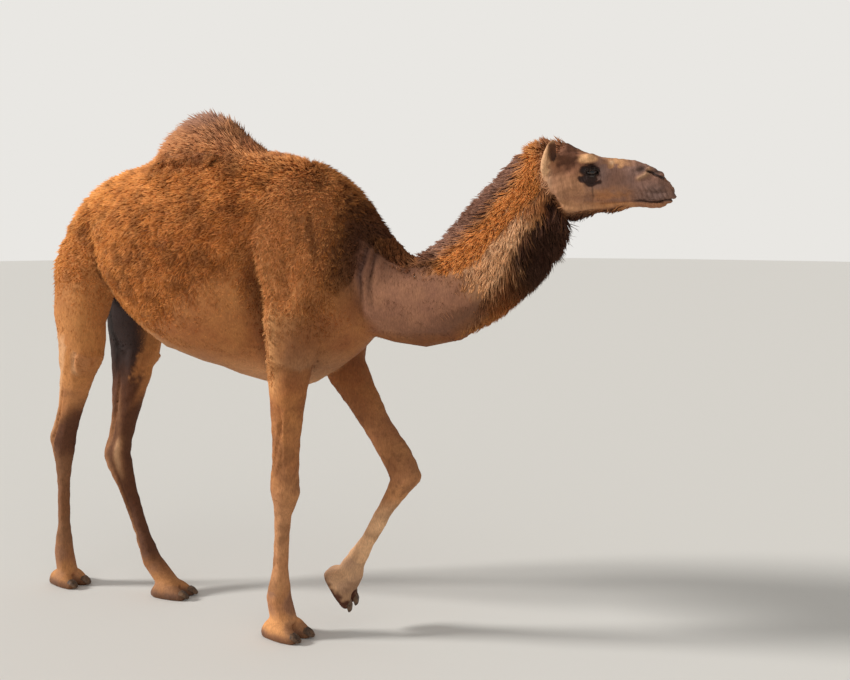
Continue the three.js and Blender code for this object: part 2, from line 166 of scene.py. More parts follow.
def applyModifiers(ob):
    graph = bpy.context.evaluated_depsgraph_get()
    made = bpy.data.meshes.new_from_object(ob.evaluated_get(graph))
    old = ob.data
    ob.modifiers.clear()
    ob.data = made
    bpy.data.meshes.remove(old)


def putValues(mesh, name, values, kind="FLOAT", where="POINT"):
    layer = mesh.attributes.get(name) or mesh.attributes.new(name, kind, where)
    field = "vector" if kind == "FLOAT_VECTOR" else "value"
    layer.data.foreach_set(field, np.asarray(values, np.int32 if kind == "INT" else np.float32).ravel())


def connect(tree, node, inputs):  # each input is a plain value or another node's output
    for key, value in inputs.items():
        if isinstance(value, bpy.types.NodeSocket):
            tree.links.new(value, node.inputs[key])
        else:
            node.inputs[key].default_value = value


def addNode(tree, kind, inputs={}, output=0, **settings):
    node = tree.nodes.new(kind)
    for key, value in settings.items():
        setattr(node, key, value)
    connect(tree, node, inputs)
    return node.outputs[output]


def makeMaterial(name, look):  # look gives the shader's inputs for a tree of nodes
    mat = bpy.data.materials.new(name)
    mat.use_nodes = True
    tree = mat.node_tree
    connect(tree, tree.nodes["Principled BSDF"], look(tree))
    return mat


# ---------- camera, light and floor

view = {"place": (2.577, -3.568, 1.66), "turn": 30, "tip": 83.23, "lens": 50, "sensor": 36}
studio = {"floor": "dcd8d0", "sky": 0.42, "backdrop": "e9e7e3", "reach": 30}
lamps = [
    # the way the light falls, how soft it is in degrees, strength
    ((0.80, 0.52, -0.50), 10, 3.0),
    ((-0.45, 0.70, -0.60), 60, 0.4),
]


def makeCamera():
    data = bpy.data.cameras.new("camera")
    data.lens = view["lens"]
    data.sensor_width = view["sensor"]
    cam = addObject("camera", data)
    cam.location = view["place"]
    cam.rotation_euler = (math.radians(view["tip"]), 0, math.radians(view["turn"]))
    scene.camera = cam


def makeLamps():
    for i, (way, soft, strength) in enumerate(lamps):
        data = bpy.data.lights.new(f"softLight{i + 1}", "SUN")
        data.angle = math.radians(soft)
        data.energy = strength
        lamp = addObject(data.name, data)
        lamp.location = (0, 0, 4 + i)
        lamp.rotation_euler = Vector(way).to_track_quat("-Z", "Y").to_euler()


def makeWorld():
    world = bpy.data.worlds.new("studio")
    world.use_nodes = True
    scene.world = world
    tree = world.node_tree
    light = tree.nodes["Background"]
    connect(tree, light, {"Color": (1, 1, 1, 1), "Strength": studio["sky"]})
    seen = addNode(tree, "ShaderNodeBackground", {"Color": tone(studio["backdrop"]), "Strength": 1})
    path = addNode(tree, "ShaderNodeLightPath", output="Is Camera Ray")
    mix = addNode(tree, "ShaderNodeMixShader", {0: path, 1: light.outputs[0], 2: seen})
    connect(tree, tree.nodes["World Output"], {0: mix})


def makeFloor():
    turns = np.linspace(0, 2 * math.pi, 48, endpoint=False)
    ring = [(studio["reach"] * math.cos(a), studio["reach"] * math.sin(a), 0) for a in turns]
    mesh = meshFrom("floor", ring, [list(range(len(ring)))], outward=False)
    floor = addObject("floor", mesh)
    paper = {"Base Color": tone(studio["floor"]), "Roughness": 0.9}
    mesh.materials.append(makeMaterial("palePaper", lambda tree: paper))


scene.view_settings.view_transform = "Standard"
makeCamera()
makeLamps()
makeWorld()
makeFloor()
print("camel: studio ready")


# ---------- where things are on the animal

regions = {
    "trunk": ["trunk", "hump"],
    "neck": ["neck_lower", "neck_upper"],
    "head": ["head", "lower_jaw"],
    "ear": ["ear_left", "ear_right"],
    "tail": ["tail"],
    "foreRight": ["foreleg_right_upper", "foreleg_right_lower"],
    "foreLeft": ["foreleg_left_upper", "foreleg_left_lower"],
    "hindRight": ["hindleg_right_upper", "hindleg_right_lower"],
    "hindLeft": ["hindleg_left_upper", "hindleg_left_lower"],
    "foot": [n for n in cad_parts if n.endswith("_foot")],
}
legRegions = ["foreRight", "foreLeft", "hindRight", "hindLeft"]
fleshNodes = [n for group in regions.values() for n in group]


def middle(node):
    low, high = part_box(node)
    return np.array((low + high) / 2)


eyeSpots = {1: middle("eye_left"), -1: middle("eye_right")}
eyeRadius = np.array(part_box("eye_left")[1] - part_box("eye_left")[0])[2] / 2
eyesMiddle = (eyeSpots[1] + eyeSpots[-1]) / 2
headLeft = unit(eyeSpots[1] - eyeSpots[-1])
headForward = np.cross(headLeft, [0, 0, 1.0])


def headPlace(p):  # forward of the eyes, to the head's left, and above the eyes
    d = p - eyesMiddle
    return d @ headForward, d @ headLeft, d[:, 2]


neckLine = np.array([
    # the middle of the neck from its root to the poll
    (0.16, 0, 1.42), (0.33, 0, 1.35), (0.45, 0, 1.31), (0.56, 0.01, 1.315), (0.65, 0.02, 1.365),
    (0.73, 0.03, 1.44), (0.81, 0.04, 1.54), (0.88, 0.055, 1.63), (0.94, 0.06, 1.70),
])


def neckPlace(p):
    # share of the way up the neck, and 1 at the throat, 0 at the side and -1 at the nape
    step = np.diff(neckLine, axis=0)
    length = np.linalg.norm(step, axis=1)
    reach = np.concatenate([[0], np.cumsum(length)])
    best = np.full(len(p), 1e9)
    along = np.zeros(len(p))
    front = np.zeros(len(p))
    for i, way in enumerate(step / length[:, None]):
        t = np.clip((p - neckLine[i]) @ way, 0, length[i])
        off = p - neckLine[i] - t[:, None] * way
        far = np.linalg.norm(off, axis=1)
        below = np.array([way[2], 0, -way[0]])
        near = far < best
        best[near] = far[near]
        along[near] = (reach[i] + t[near]) / reach[-1]
        front[near] = (off[near] @ below) / most(far[near], 1e-6)
    return along, front


# ---------- the lines where one kind of coat gives way to another

def lineAt(line, value):
    return np.interp(value, line[:, 0], line[:, 1])


woolFoot = np.array([  # [x, height] where the wool of the flank thins out
    (-1.25, 1.34), (-1.05, 1.28), (-0.90, 1.18), (-0.70, 1.12), (-0.45, 1.22), (-0.22, 1.34),
    (-0.10, 1.36), (-0.04, 1.27), (0.28, 1.27), (0.35, 1.30),
])
woolFront = np.array([  # [height, x] of its front edge on the shoulder
    (1.15, 0.26), (1.29, 0.27), (1.38, 0.318), (1.47, 0.335), (1.575, 0.336), (1.69, 0.312), (1.80, 0.27),
])
thighLine = np.array([  # [height, x] of the fold where the flank hangs over the thigh
    (1.08, -0.43), (1.119, -0.521), (1.156, -0.590), (1.200, -0.668), (1.263, -0.738), (1.312, -0.777),
    (1.386, -0.825), (1.467, -0.863), (1.53, -0.891), (1.60, -0.915),
])
elbowLine = np.array([  # [height, x] of the back edge of the shoulder
    (1.00, -0.020), (1.13, 0.000), (1.18, -0.003), (1.252, 0.000), (1.316, 0.007), (1.37, 0.004),
    (1.415, -0.013), (1.459, -0.024), (1.56, -0.045),
])
# on the neck: [share of the way up, 1 at the throat to -1 at the nape]
napeLine = np.array([
    (0.20, -0.95), (0.45, -0.92), (0.63, -0.91), (0.74, -0.85), (0.85, -0.84), (0.94, -0.88), (1.0, -0.86),
])
bandLine = np.array([
    (0.08, -0.55), (0.13, -0.64), (0.22, -0.79), (0.36, -0.90), (0.50, -0.82), (0.60, -0.95),
])
streakLine = np.array([
    (0.10, -0.10), (0.17, -0.18), (0.26, -0.30), (0.37, -0.47), (0.48, -0.47), (0.55, -0.60),
])
fringeLine = np.array([(0.45, -0.82), (0.50, -0.69), (0.59, -0.28), (0.67, 0.0), (0.83, 0.04), (0.92, 0.2)])
maneLine = np.array([
    (0.40, 0.80), (0.51, 0.91), (0.56, 0.90), (0.67, 0.84), (0.74, 0.79), (0.79, 0.71),
    (0.87, 0.67), (0.96, 0.72),
])
limbAxes = {  # [height, x] down the middle of each limb
    "hindRight": np.array([(0.138, -1.266), (0.64, -1.206), (1.09, -0.96)]),
    "hindLeft": np.array([(0.134, -0.864), (0.564, -1.07), (1.044, -0.984)]),
    "foreRight": np.array([(0.142, -0.086), (0.588, -0.030), (1.09, 0.048)]),
}
hockHighlightLine = np.array([  # [height, x] of the painted highlight inside the left hock
    (0.24, -0.946), (0.323, -0.978), (0.399, -0.994), (0.448, -1.021), (0.491, -1.029), (0.554, -1.049),
    (0.66, -1.045),
])
tanLine = np.array([  # [height, x] of the dark inner thigh's front edge; the dark is its own hair and painted shade
    (0.90, -0.990), (0.95, -0.968), (1.033, -0.934), (1.118, -0.923), (1.25, -0.900),
])
hindLeftMiddle = np.array([(0.138, 0.04), (0.60, 0.08), (1.09, 0.16), (1.50, 0.12)])  # [height, y]


# ---------- how long and how shaggy the coat is

coatDepth = {"wool": 0.0125, "hump": 0.009, "nape": 0.030, "fringe": 0.020, "throat": 0.036, "locks": 0.012,
             "poll": 0.026, "jaw": 0.013, "short": 0.003, "tail": 0.006, "elbow": 0.006}


def coatMasks(p, part):
    # part holds each region's share at every point; each mask says how much of a kind of coat grows there
    x, z = p[:, 0], p[:, 2]
    along, front = neckPlace(p)
    forward, _, up = headPlace(p)
    fray = 0.03 * ripple(p, 0.14, 3)
    behindCheek = np.where(up < -0.02, -0.165 - 0.667 * (up + 0.02), -0.165)
    neck = np.clip(part["neck"] + part["head"] * rise(forward - behindCheek, 0.016, -0.016), 0, 1)
    body = np.clip(part["trunk"] + part["neck"] + sum(part[n] for n in legRegions), 0, 1)

    thigh = part["trunk"] * rise(x - lineAt(thighLine, z), 0.010, -0.010) * rise(z, 1.60, 1.46)
    ahead = x - lineAt(woolFront, z) - 0.4 * fray
    wool = body * rise(z - lineAt(woolFoot, x) + fray, -0.11, 0.09) * rise(ahead, 0.012, -0.020)
    wool *= 1 - thigh * (0.85 - 0.75 * rise(z, 1.18, 1.42))
    elbow = body * hill(x - lineAt(elbowLine, z), 0.016, 0.026) * span(z, 0.96, 1.05, 1.36, 1.56)
    hump = part["trunk"] * rise(z, 1.82, 1.93)

    nape = neck * rise(front - lineAt(napeLine, along), 0.06, -0.07) * rise(along, 0.10, 0.30)
    nearBase = rise(along, 0.42, 0.30) * rise(ahead, -0.02, 0.02) * rise(front, -0.80, -0.94)
    nape = most(nape, neck * nearBase)
    mane = neck * rise(front - lineAt(maneLine, along), -0.06, 0.07) * rise(along, 0.44, 0.62)
    fringe = neck * (1 - nape) * rise(front - lineAt(fringeLine, along), 0.08, -0.08) * rise(along, 0.44, 0.54)
    locks = neck * (1 - nape) * (1 - fringe) * (1 - mane) * rise(along, 0.55, 0.70)
    crown = rise(forward, -0.075, -0.115) * rise(up, 0.045, 0.085)
    poll = np.clip(part["head"] + part["neck"], 0, 1) * crown
    nape *= 1 - poll
    jaw = part["head"] * rise(up - lineAt(jawLine, forward), 0.016, 0.0)
    jaw = jaw * rise(forward, 0.14, 0.06) * (1 - neck)
    masks = {
        "wool": wool, "elbow": elbow, "hump": hump, "nape": nape, "throat": mane, "fringe": fringe,
        "locks": locks, "poll": poll, "jaw": jaw, "tail": part["tail"], "thigh": thigh, "neck": neck,
    }
    return {name: np.clip(value, 0, 1) for name, value in masks.items()}


def depthOf(p, part):
    mask = coatMasks(p, part)
    mask["throat"] *= 0.3 + 0.7 * rise(neckPlace(p)[0], 0.50, 0.72)
    depth = coatDepth["short"] + sum(coatDepth[n] * mask[n] for n in coatDepth if n not in ("short", "poll"))
    depth = most(depth, coatDepth["poll"] * mask["poll"])
    bare = np.clip(part["ear"] + part["foot"] + sum(part[n] for n in legRegions), 0, 1)
    return depth - 0.0018 * bare


# ---------- markings, and light and shade painted into the colours

def outerSide(p, margin):  # 1 on the outer side of the hind legs
    return rise(np.abs(p[:, 1]) - lineAt(hindLeftMiddle, p[:, 2]), -margin, 0.0)


def neckFolds(p):  # the wave of the folds where the neck leaves the shoulder, and where they run
    bend = p[:, 0] - 0.345 - 0.10 * (p[:, 2] - 1.40) + 0.006 * ripple(p, 0.30, 21)
    wave = waves(bend, 0.032)
    return wave, hill(bend, 0, 0.050) * hill(p[:, 2], 1.43, 0.16) * rise(np.abs(p[:, 1]), 0.03, 0.08)


def legShare(p, part, name):  # a leg with its own foot
    joint = ("foreleg_" if name.startswith("fore") else "hindleg_") + name[4:].lower() + "_foot"
    near = np.linalg.norm(p - middle(joint), axis=1) < 0.2
    return np.clip(part[name] + part["foot"] * near, 0, 1)


markNames = ["gold", "fawn", "ash", "umber", "sable", "bare"]


def marksAndPaintedLight(p, part):
    # shares of golden, pale fawn, grey brown, dark brown, near black and bare skin over the rust; some of them
    # hold painted shade and painted highlights, named where they are made
    x, y, z = p.T
    along, front = neckPlace(p)
    forward, left, up = headPlace(p)
    side = np.abs(left)
    fine = patches(p, 0.045, 10)
    patch = patches(p, 0.11, 11)
    broad = patches(p, 0.42, 12)
    rough = 0.006 * ripple(p, 0.030, 14)
    blotch = patches(p * (1, 1, 0.5), 0.060, 15)
    mask = coatMasks(p, part)
    trunk = part["trunk"]
    foot = part["foot"]
    head = part["head"] * (1 - mask["neck"])
    neck = mask["neck"] * (1 - trunk)
    body = np.clip(trunk + part["neck"], 0, 1)
    legs = np.clip(sum(part[n] for n in legRegions) + foot, 0, 1)
    fore = np.clip(trunk + part["foreRight"] + part["foreLeft"], 0, 1)
    share = {n: legShare(p, part, n) for n in legRegions}
    elbow = x - lineAt(elbowLine, z)
    fold = x - lineAt(thighLine, z)
    ahead = x - lineAt(woolFront, z)

    # the body: grey crest, dark yoke and collar before the shoulder, darker patches in the wool, painted shade
    # in the neck's folds and the creases, and painted highlights on the shoulder, its back edge and the flank's
    # rim
    crest = trunk * rise(z, 1.84, 1.97)
    yoke = rise(ahead + 3 * rough, -0.135, -0.055) * rise(z, 1.24, 1.42) * body * (1 - rise(ahead, 0.00, 0.07))
    reach = 0.09 + 0.40 * rise(z, 1.44, 1.62)
    collar = 0.62 * rise(ahead - reach + 3 * rough, 0, -0.09) * rise(ahead, -0.06, -0.02) * rise(z, 1.27, 1.46)
    wave, where = neckFolds(p)
    # painted shade in the troughs of the folds where the neck leaves the shoulder
    paintedFoldShade = rise(-wave, 0.2, 0.9) * where * body
    dapple = 0.45 * mask["wool"] * rise(x, 0.02, 0.14) * rise(blotch, 0.60, 0.92) * rise(z, 1.18, 1.34)
    # painted highlight: the shoulder's wool made golden and pale as if lit
    paintedShoulderLight = 0.95 * rise(elbow, -0.005, 0.030) * rise(ahead + 3 * rough, -0.085, -0.160) * fore
    paintedShoulderLight *= span(z, 1.14, 1.28, 1.68, 1.80) * (1 - dapple)
    mottle = 0.34 * mask["wool"] * rise(0.55 * patch + 0.45 * fine, 0.42, 0.95)
    mottle *= (1 - mask["elbow"]) * (1 - 0.8 * paintedShoulderLight)
    # painted shade in the crease behind the shoulder and in the fold over the thigh
    crease = 0.55 * hill(elbow, -0.036, 0.030) * span(z, 1.02, 1.15, 1.35, 1.52)
    crease = most(crease, 0.85 * hill(fold, -0.026, 0.024) * rise(z, 1.58, 1.34)) * np.clip(trunk + legs, 0, 1)
    umber = most(0.15 * crest, collar * body, 0.85 * yoke, 0.95 * paintedFoldShade, dapple, mottle, crease)
    belly = trunk * rise(z, 1.14, 1.02) * (0.20 + 0.22 * broad) * (1 - mask["thigh"])
    breast = 0.45 * trunk * hill(x, -0.13, 0.10) * rise(z, 1.12, 1.0)
    # the shoulder's back edge, paler: partly its own fringe of hair and partly painted highlight
    edge = hill(elbow, 0.016, 0.034) * span(z, 0.90, 1.05, 1.45, 1.62) * fore
    # painted highlight on the flank's rim where it hangs over the thigh
    flankRimHighlight = 0.5 * trunk * hill(fold, 0.016, 0.018) * rise(z, 1.45, 1.30)
    rump = np.clip(trunk + part["hindRight"] + part["hindLeft"], 0, 1)
    rump = rump * rise(x, -0.72, -0.84) * rise(z, 0.72, 0.95)
    fleece = np.clip(mask["wool"] * (0.22 + 0.40 * (1 - patch)) + 0.28 * rump, 0, 1)
    chest = 0.06 * fore * rise(z, 1.29, 1.24) * rise(x, 0.0, 0.12) * rise(z, 0.90, 1.10)
    greyed = most(0.90 * crest, 0.45 * trunk * rise(z, 1.74, 1.90))

    # the neck: a dark band with hanging streaks, an orange fringe, pale locks and the dark throat, with painted
    # shade on its underside and a painted highlight on a ridge of the mane
    band = neck * rise(front - lineAt(bandLine, along), 0.08, -0.06) * rise(along, 0.64, 0.50)
    reach = front - lineAt(streakLine, along) + 0.25 * ripple(p * (1, 1, 0.2), 0.05, 33)
    hang = rise(waves(x, 0.034, 2.5 * ripple(p, 0.10, 16)), -0.2, 0.7)
    hang *= neck * rise(reach, 0.25, -0.20) * rise(along, 0.60, 0.50)
    dim = neck * (1 - mask["locks"]) * (1 - mask["fringe"]) * (0.16 + 0.20 * broad + 0.14 * patch)
    under = 0.35 * neck * hill(front - lineAt(fringeLine, along), 0.12, 0.10) * rise(along, 0.60, 0.50)
    cheekBack = 0.40 * neck * rise(along, 0.86, 0.96) * rise(front, -0.1, 0.3)
    ridgeBack = mask["nape"] * (0.05 + 0.25 * patch + 0.20 * rise(front, -0.90, -0.98))
    # painted shade along the underside of the neck
    neckUndersideShade = 0.4 * neck * rise(front, 0.80, 0.90) * rise(along, 0.25, 0.40)
    umber = most(umber, 0.46 * mask["poll"], 0.80 * band, 0.70 * hang, dim, under, cheekBack, ridgeBack, neckUndersideShade)
    mane = mask["throat"] * (0.15 + 0.85 * rise(along, 0.58, 0.79))
    rim = neck * rise(front, 0.95, 0.985) * rise(along, 0.72, 0.62)
    # painted highlight on a ridge of the mane
    maneRidgeHighlight = hill(front, 0.86 + 0.5 * most(along - 0.78, 0), 0.022) * hill(along, 0.765, 0.045)
    mane *= 0.92 * (1 - 0.75 * rim) * (1 - 0.8 * maneRidgeHighlight)
    stripe = 0.35 * neck * hill(front, 0.86, 0.09) * rise(along, 0.30, 0.45)
    locks = mask["locks"] * (0.72 + 0.40 * patch) * (1 - cheekBack * 2)
    lower = 0.44 * neck * (1 - mask["fringe"]) * (1 - mask["nape"]) * rise(along, 0.66, 0.52)
    lower *= rise(front, 0.97, 0.93)
    frosted = 0.85 * mask["nape"] * rise(front, -0.82, -0.92) * rise(along, 0.38, 0.52)

    # the legs: dark shanks behind, the dark inside of the left thigh, partly its own dark hair and partly
    # painted shade, painted shade in the groin and round the stifle pad, and painted highlights in the left
    # hock, on the stifle pad and along the near hind shank's back edge
    inner = rise(y - lineAt(hindLeftMiddle, z), 0.015, -0.020)
    off = x - lineAt(hockHighlightLine, z)
    # painted highlight: a pale streak inside the far hind hock
    hockHighlight = inner * most(
        hill(off, 0.008, 0.024) * span(z, 0.44, 0.50, 0.62, 0.68),
        0.30 * hill(off, 0, 0.016) * span(z, 0.58, 0.64, 0.78, 0.92),
        0.6 * hill(off, 0, 0.009) * span(z, 0.26, 0.32, 0.50, 0.56),
    )
    tan = 0.85 * rise(x - lineAt(tanLine, z) + rough, -0.008, 0.012) * rise(z + 3 * rough, 0.88, 0.95)
    for name in ("hindRight", "hindLeft"):
        back = x - lineAt(limbAxes[name], z)
        pad = np.hypot((back - 0.058) / 0.034, (z - 1.035) / 0.072)
        shank = rise(z - back, 0.83, 0.71) * (0.40 + 0.60 * rise(back, -0.034, -0.012))
        if name == "hindRight":
            shank *= 0.22 + 0.50 * rise(z, 0.08, 0.26) + 0.28 * rise(z, 0.54, 0.64)
            rear = back
            callus = 0.12 * part[name] * rise(pad, 1.1, 0.8)
            # painted highlight on the lit side of the stifle pad
            padHighlight = part[name] * hill(pad, 1.40, 0.30) * rise(rear, 0.055, 0.035) * rise(z, 0.94, 0.98)
        else:
            shank *= 0.40 + 0.60 * rise(z, 0.08, 0.20)
            # painted shade: the inner side of the far hind leg darkened as well
            shank = most(shank, inner * rise(z, 0.10, 0.30)) * (1 - tan)
        # painted shade in the groove round the stifle pad
        ring = 0.16 * part[name] * hill(pad, 1.15, 0.16) * outerSide(p, 0.04)
        umber = most(umber, ring, 0.92 * shank * share[name])
    # painted shade in the groin between the thigh and the flank
    groinShade = trunk * rise(fold, 0.02, -0.03) * rise(y, -0.12, -0.04) * rise(z, 1.36, 1.28) * (1 - tan) * inner
    umber = most(umber, 0.9 * groinShade) * (1 - hockHighlight)
    # the inside of the far thigh: its own dark hair and painted shade
    innerHairAndShade = np.clip(inner * part["hindLeft"] * (1 - tan) + groinShade, 0, 1) * rise(z, 0.85, 1.05)
    fromSole = p - middle("foreleg_left_foot")
    sole = 0.65 * rise(fromSole @ np.array([-0.75, 0, -0.66]) + rough, 0.000, 0.030)
    toe = 0.5 * rise(fromSole @ np.array([0.45, 0, -0.89]) + rough, -0.02, 0.05)
    spots = rise(patches(p, 0.030, 17), 0.86, 1.0) * (part["foreLeft"] + 0.6 * part["foreRight"])
    umber = most(
        umber,
        foot * share["foreLeft"] * most(sole + toe, 0.22),
        0.26 * (legs - share["foreRight"]) * rise(z + 2 * rough, 0.24, 0.10),
        # painted shade on the upper part of the far fore leg
        0.30 * part["foreLeft"] * rise(z, 0.58, 0.75),
        0.30 * legs * rise(patch, 0.50, 0.95) * rise(z, 1.05, 0.85),
        0.45 * spots * span(z, 0.50, 0.60, 0.9, 1.0),
        # painted shade on the top of the fore legs under the shoulder
        0.44 * fore * rise(z, 1.29, 1.22) * hill(x, 0.11, 0.11) * rise(z, 0.94, 1.08),
        0.6 * part["tail"] * rise(z, 1.35, 1.15),
    )
    limb = legs * (0.10 * rise(z, 1.0, 0.8) + 0.20 * rise(z, 0.75, 0.45)) * (0.7 + 0.6 * broad)
    limb = most(
        limb * (1 - 0.6 * rise(z, 0.26, 0.12)),
        # the far fore leg paler below: partly its own colour and partly painted light
        0.90 * share["foreLeft"] * rise(z, 0.62, 0.44),
        0.30 * share["foreRight"] * span(z, 0.62, 0.50, 0.36, 0.18),
        # painted highlight along the back edge of the near hind shank
        0.45 * share["hindRight"] * rise(rear, -0.03, -0.055) * rise(z, 0.40, 0.60),
    )
    standing = share["hindRight"] + share["hindLeft"] + share["foreRight"]
    pastern = 0.6 * standing * span(z, 0.13, 0.06, 0.04, 0.02)
    soles = 0.30 * foot * rise(patch, 0.2, 0.9)
    toes = foot * rise(z, 0.050, 0.012) * 0.55

    # the head: dark forehead, an eye hollow partly painted shade, golden brow partly painted highlight, golden
    # bridge, a painted highlight at the back of the cheek, pale fold behind the nostril, and painted shade in
    # the creases, the nostril and the mouth's parting
    brow = 0.8 * head * rise(forward + rough, -0.125, -0.100) * rise(forward + rough, -0.036, -0.054)
    brow *= rise(up + rough, -0.004, 0.030) * (1 - mask["poll"])
    shade = head * hill(up + 0.022, 0, 0.032) * rise(forward, 0.015, 0.06)
    # painted shade in the crease under the brow
    browCreaseShade = head * hill(up, 0.023, 0.008) * hill(forward, -0.006, 0.032) * rise(side, 0.02, 0.04)
    # painted shade in the troughs of the fine pleats low on the muzzle
    pleat = head * rise(waves(forward + 0.5 * up, 0.017, ripple(p, 0.05, 34)), 0.0, 1.0)
    pleat *= hill(up, -0.066, 0.024) * rise(forward, 0.12, 0.17)
    # pale patch over the eye: partly its own colour and partly a painted highlight on the brow's bulge
    lid = head * rise(np.hypot((forward + 0.012) / 0.030, (up - 0.043) / 0.015) + 12 * rough, 1.35, 0.70)
    cheek = 0.24 * head * rise(forward, 0.05, -0.03) * rise(up, 0.02, -0.03)
    bridge = 0.85 * head * hill(forward, 0.078, 0.042) * rise(up + rough, 0.014, 0.026)
    below = 0.7 * head * hill(up + 0.074 + rough, 0, 0.023) * span(forward, -0.03, 0.02, 0.11, 0.15)
    chin = 0.55 * head * rise(up, -0.084, -0.104) * rise(forward, 0.17, 0.12) * (1 - mask["jaw"])
    # painted highlight: a pale band at the back of the cheek, as if lit
    cheekRearHighlight = 0.95 * head * hill(forward + 0.10 * (up + 0.02), -0.154, 0.026) * hill(up, -0.018, 0.058)
    spot = head * hill(np.hypot(forward - 0.063, up - 0.031), 0, 0.011)
    foldMark = 0.85 * head * hill(gapTo(foldLine, forward, up), 0, 0.009)
    hollow = part["ear"] * earHollow(p)
    muzzle = most(head * rise(forward, -0.07, 0.02) * rise(up, -0.110, -0.088), 0.45 * head)
    muzzle *= 0.9 * (1 - lid) * (1 - 0.8 * foldMark) * (0.75 + 0.25 * patch) * (1 - bridge) * (1 - 0.7 * below)
    # the dark eye hollow: the lids' own dark skin and painted shade under the brow, with a painted shade line
    # under the lower lid
    socket = head * rise(side, 0.03, 0.05) * most(
        rise(np.hypot((forward + 0.003) / 0.030, (up - 0.002) / 0.022) + 22 * rough, 1.30, 0.72),
        0.92 * hill(gapTo(lowerLidShadeLine, forward, up) + 0.4 * rough, 0, 0.0060)
        * rise(np.abs(forward + 0.004), 0.045, 0.030),
        0.88 * rise(np.hypot((forward + 0.005) / 0.025, (up + 0.020) / 0.020) + 14 * rough, 1.20, 0.75),
    )
    tear = 0.6 * head * hill(forward, 0.004, 0.003) * span(up, -0.090, -0.075, -0.045, -0.03)
    tip = head * rise(forward, 0.12, 0.23) * (0.15 + 0.20 * patch) * rise(up, -0.096, -0.088)
    tip = most(tip, 0.5 * head * rise(forward, 0.245, 0.262) * hill(up, -0.065, 0.020))
    # painted shade along the mouth's parting, darker towards the front
    mouthPartingShade = head * hill(up - lineAt(mouthLine, forward), 0, 0.0030) * rise(forward, -0.02, 0.03)
    mouthPartingShade *= 0.85 * (0.20 + 0.75 * rise(forward, 0.13, 0.16))
    # painted shade in the nostril's slit and in the pits behind its fold
    nostrilPitShade = 0.80 * hill(np.hypot((forward - 0.158) / 1.4, up - 0.010), 0, 0.013)
    nostrilPitShade += 0.7 * hill(np.hypot((forward - 0.207) * 0.7, up - 0.001), 0, 0.010)
    nostrilShade = head * rise(side, 0.01, 0.02) * most(nostrilPitShade, hill(gapTo(nostrilLine, forward, up), 0, 0.0050))

    umber = most(
        umber, brow, (0.20 + 0.16 * patch) * shade, 0.20 * head * rise(fine, 0.45, 0.95), 0.50 * browCreaseShade,
        0.45 * pleat, 0.95 * mask["jaw"], rise(socket, 0.0, 0.5), 0.85 * hollow,
    )
    fawn = most(belly, breast, 0.30 * edge, 0.22 * paintedShoulderLight, flankRimHighlight, limb, locks, 0.7 * lid, cheek, 0.5 * bridge,
                cheekRearHighlight, spot, foldMark, 0.8 * part["ear"], 0.7 * maneRidgeHighlight * neck)
    return {
        "gold": most(edge, paintedShoulderLight, fleece, 0.65 * mask["fringe"], pastern, lid, 0.7 * bridge, 0.5 * below, chin),
        "fawn": most(fawn * (1 - 0.9 * hollow), hockHighlight * share["hindLeft"], 0.5 * padHighlight),
        "ash": most(lower, chest, muzzle, soles, callus, greyed, frosted),
        "umber": np.clip(umber, 0, 1),
        "sable": most(mane, stripe, 0.50 * mask["jaw"] * rise(forward, 0.08, -0.02), 0.90 * innerHairAndShade,
                      0.60 * paintedFoldShade, 0.6 * hollow * rise(up, 0.080, 0.045)),
        "bare": most(0.92 * socket, tear, tip, mouthPartingShade, nostrilShade, toes, 0.2 * hollow, 0.62 * innerHairAndShade),
    }


# ---------- the lines of the face, forward of the eyes and above them

# painted shade under the lower lid
lowerLidShadeLine = np.array([
    (-0.039, -0.017), (-0.028, -0.027), (-0.006, -0.039), (0.012, -0.037), (0.028, -0.032),
])
nostrilLine = np.array([(0.178, 0.002), (0.190, 0.000), (0.205, -0.009), (0.222, -0.016), (0.240, -0.027)])
foldLine = np.array([(0.181, 0.008), (0.178, 0.000), (0.168, -0.010), (0.148, -0.020)])
mouthLine = np.array([
    (-0.008, -0.101), (0.060, -0.097), (0.128, -0.091), (0.155, -0.091), (0.185, -0.095), (0.211, -0.096),
    (0.237, -0.089), (0.265, -0.090),
])
jawLine = np.array([(-0.083, -0.146), (-0.021, -0.133), (0.056, -0.125), (0.139, -0.104)])


def gapTo(line, forward, up):  # how far a point is from the line, seen from the side
    best = np.full(len(forward), 1e9)
    at = np.stack([forward, up], 1)
    for a, b in zip(line[:-1], line[1:]):
        t = np.clip((at - a) @ (b - a) / ((b - a) @ (b - a)), 0, 1)
        best = np.minimum(best, np.linalg.norm(at - a - t[:, None] * (b - a), axis=1))
    return best


def earHollow(p):  # the side of the ear that faces forward and out
    made = np.zeros(len(p))
    for sign, node in ((1, "ear_left"), (-1, "ear_right")):
        front = unit(0.8 * headForward + 0.6 * sign * headLeft)
        d = p - middle(node)
        near = np.linalg.norm(d, axis=1) < 0.09
        made[near] = rise(d[near] @ front, -0.004, 0.006)
    forward, _, up = headPlace(p)
    return made * rise(forward, -0.142, -0.126) * span(up, 0.016, 0.040, 0.084, 0.106)


# ---------- the skin

skinBuild = {"voxel": 0.006, "grow": 0.0006, "smoothRounds": 80, "triangles": 178000}
softness = {"trunk": 1.0, "neck": 0.6, "head": 0.07, "ear": 0.015, "tail": 0.2, "foot": 0.15}
limbSoftness = 0.30


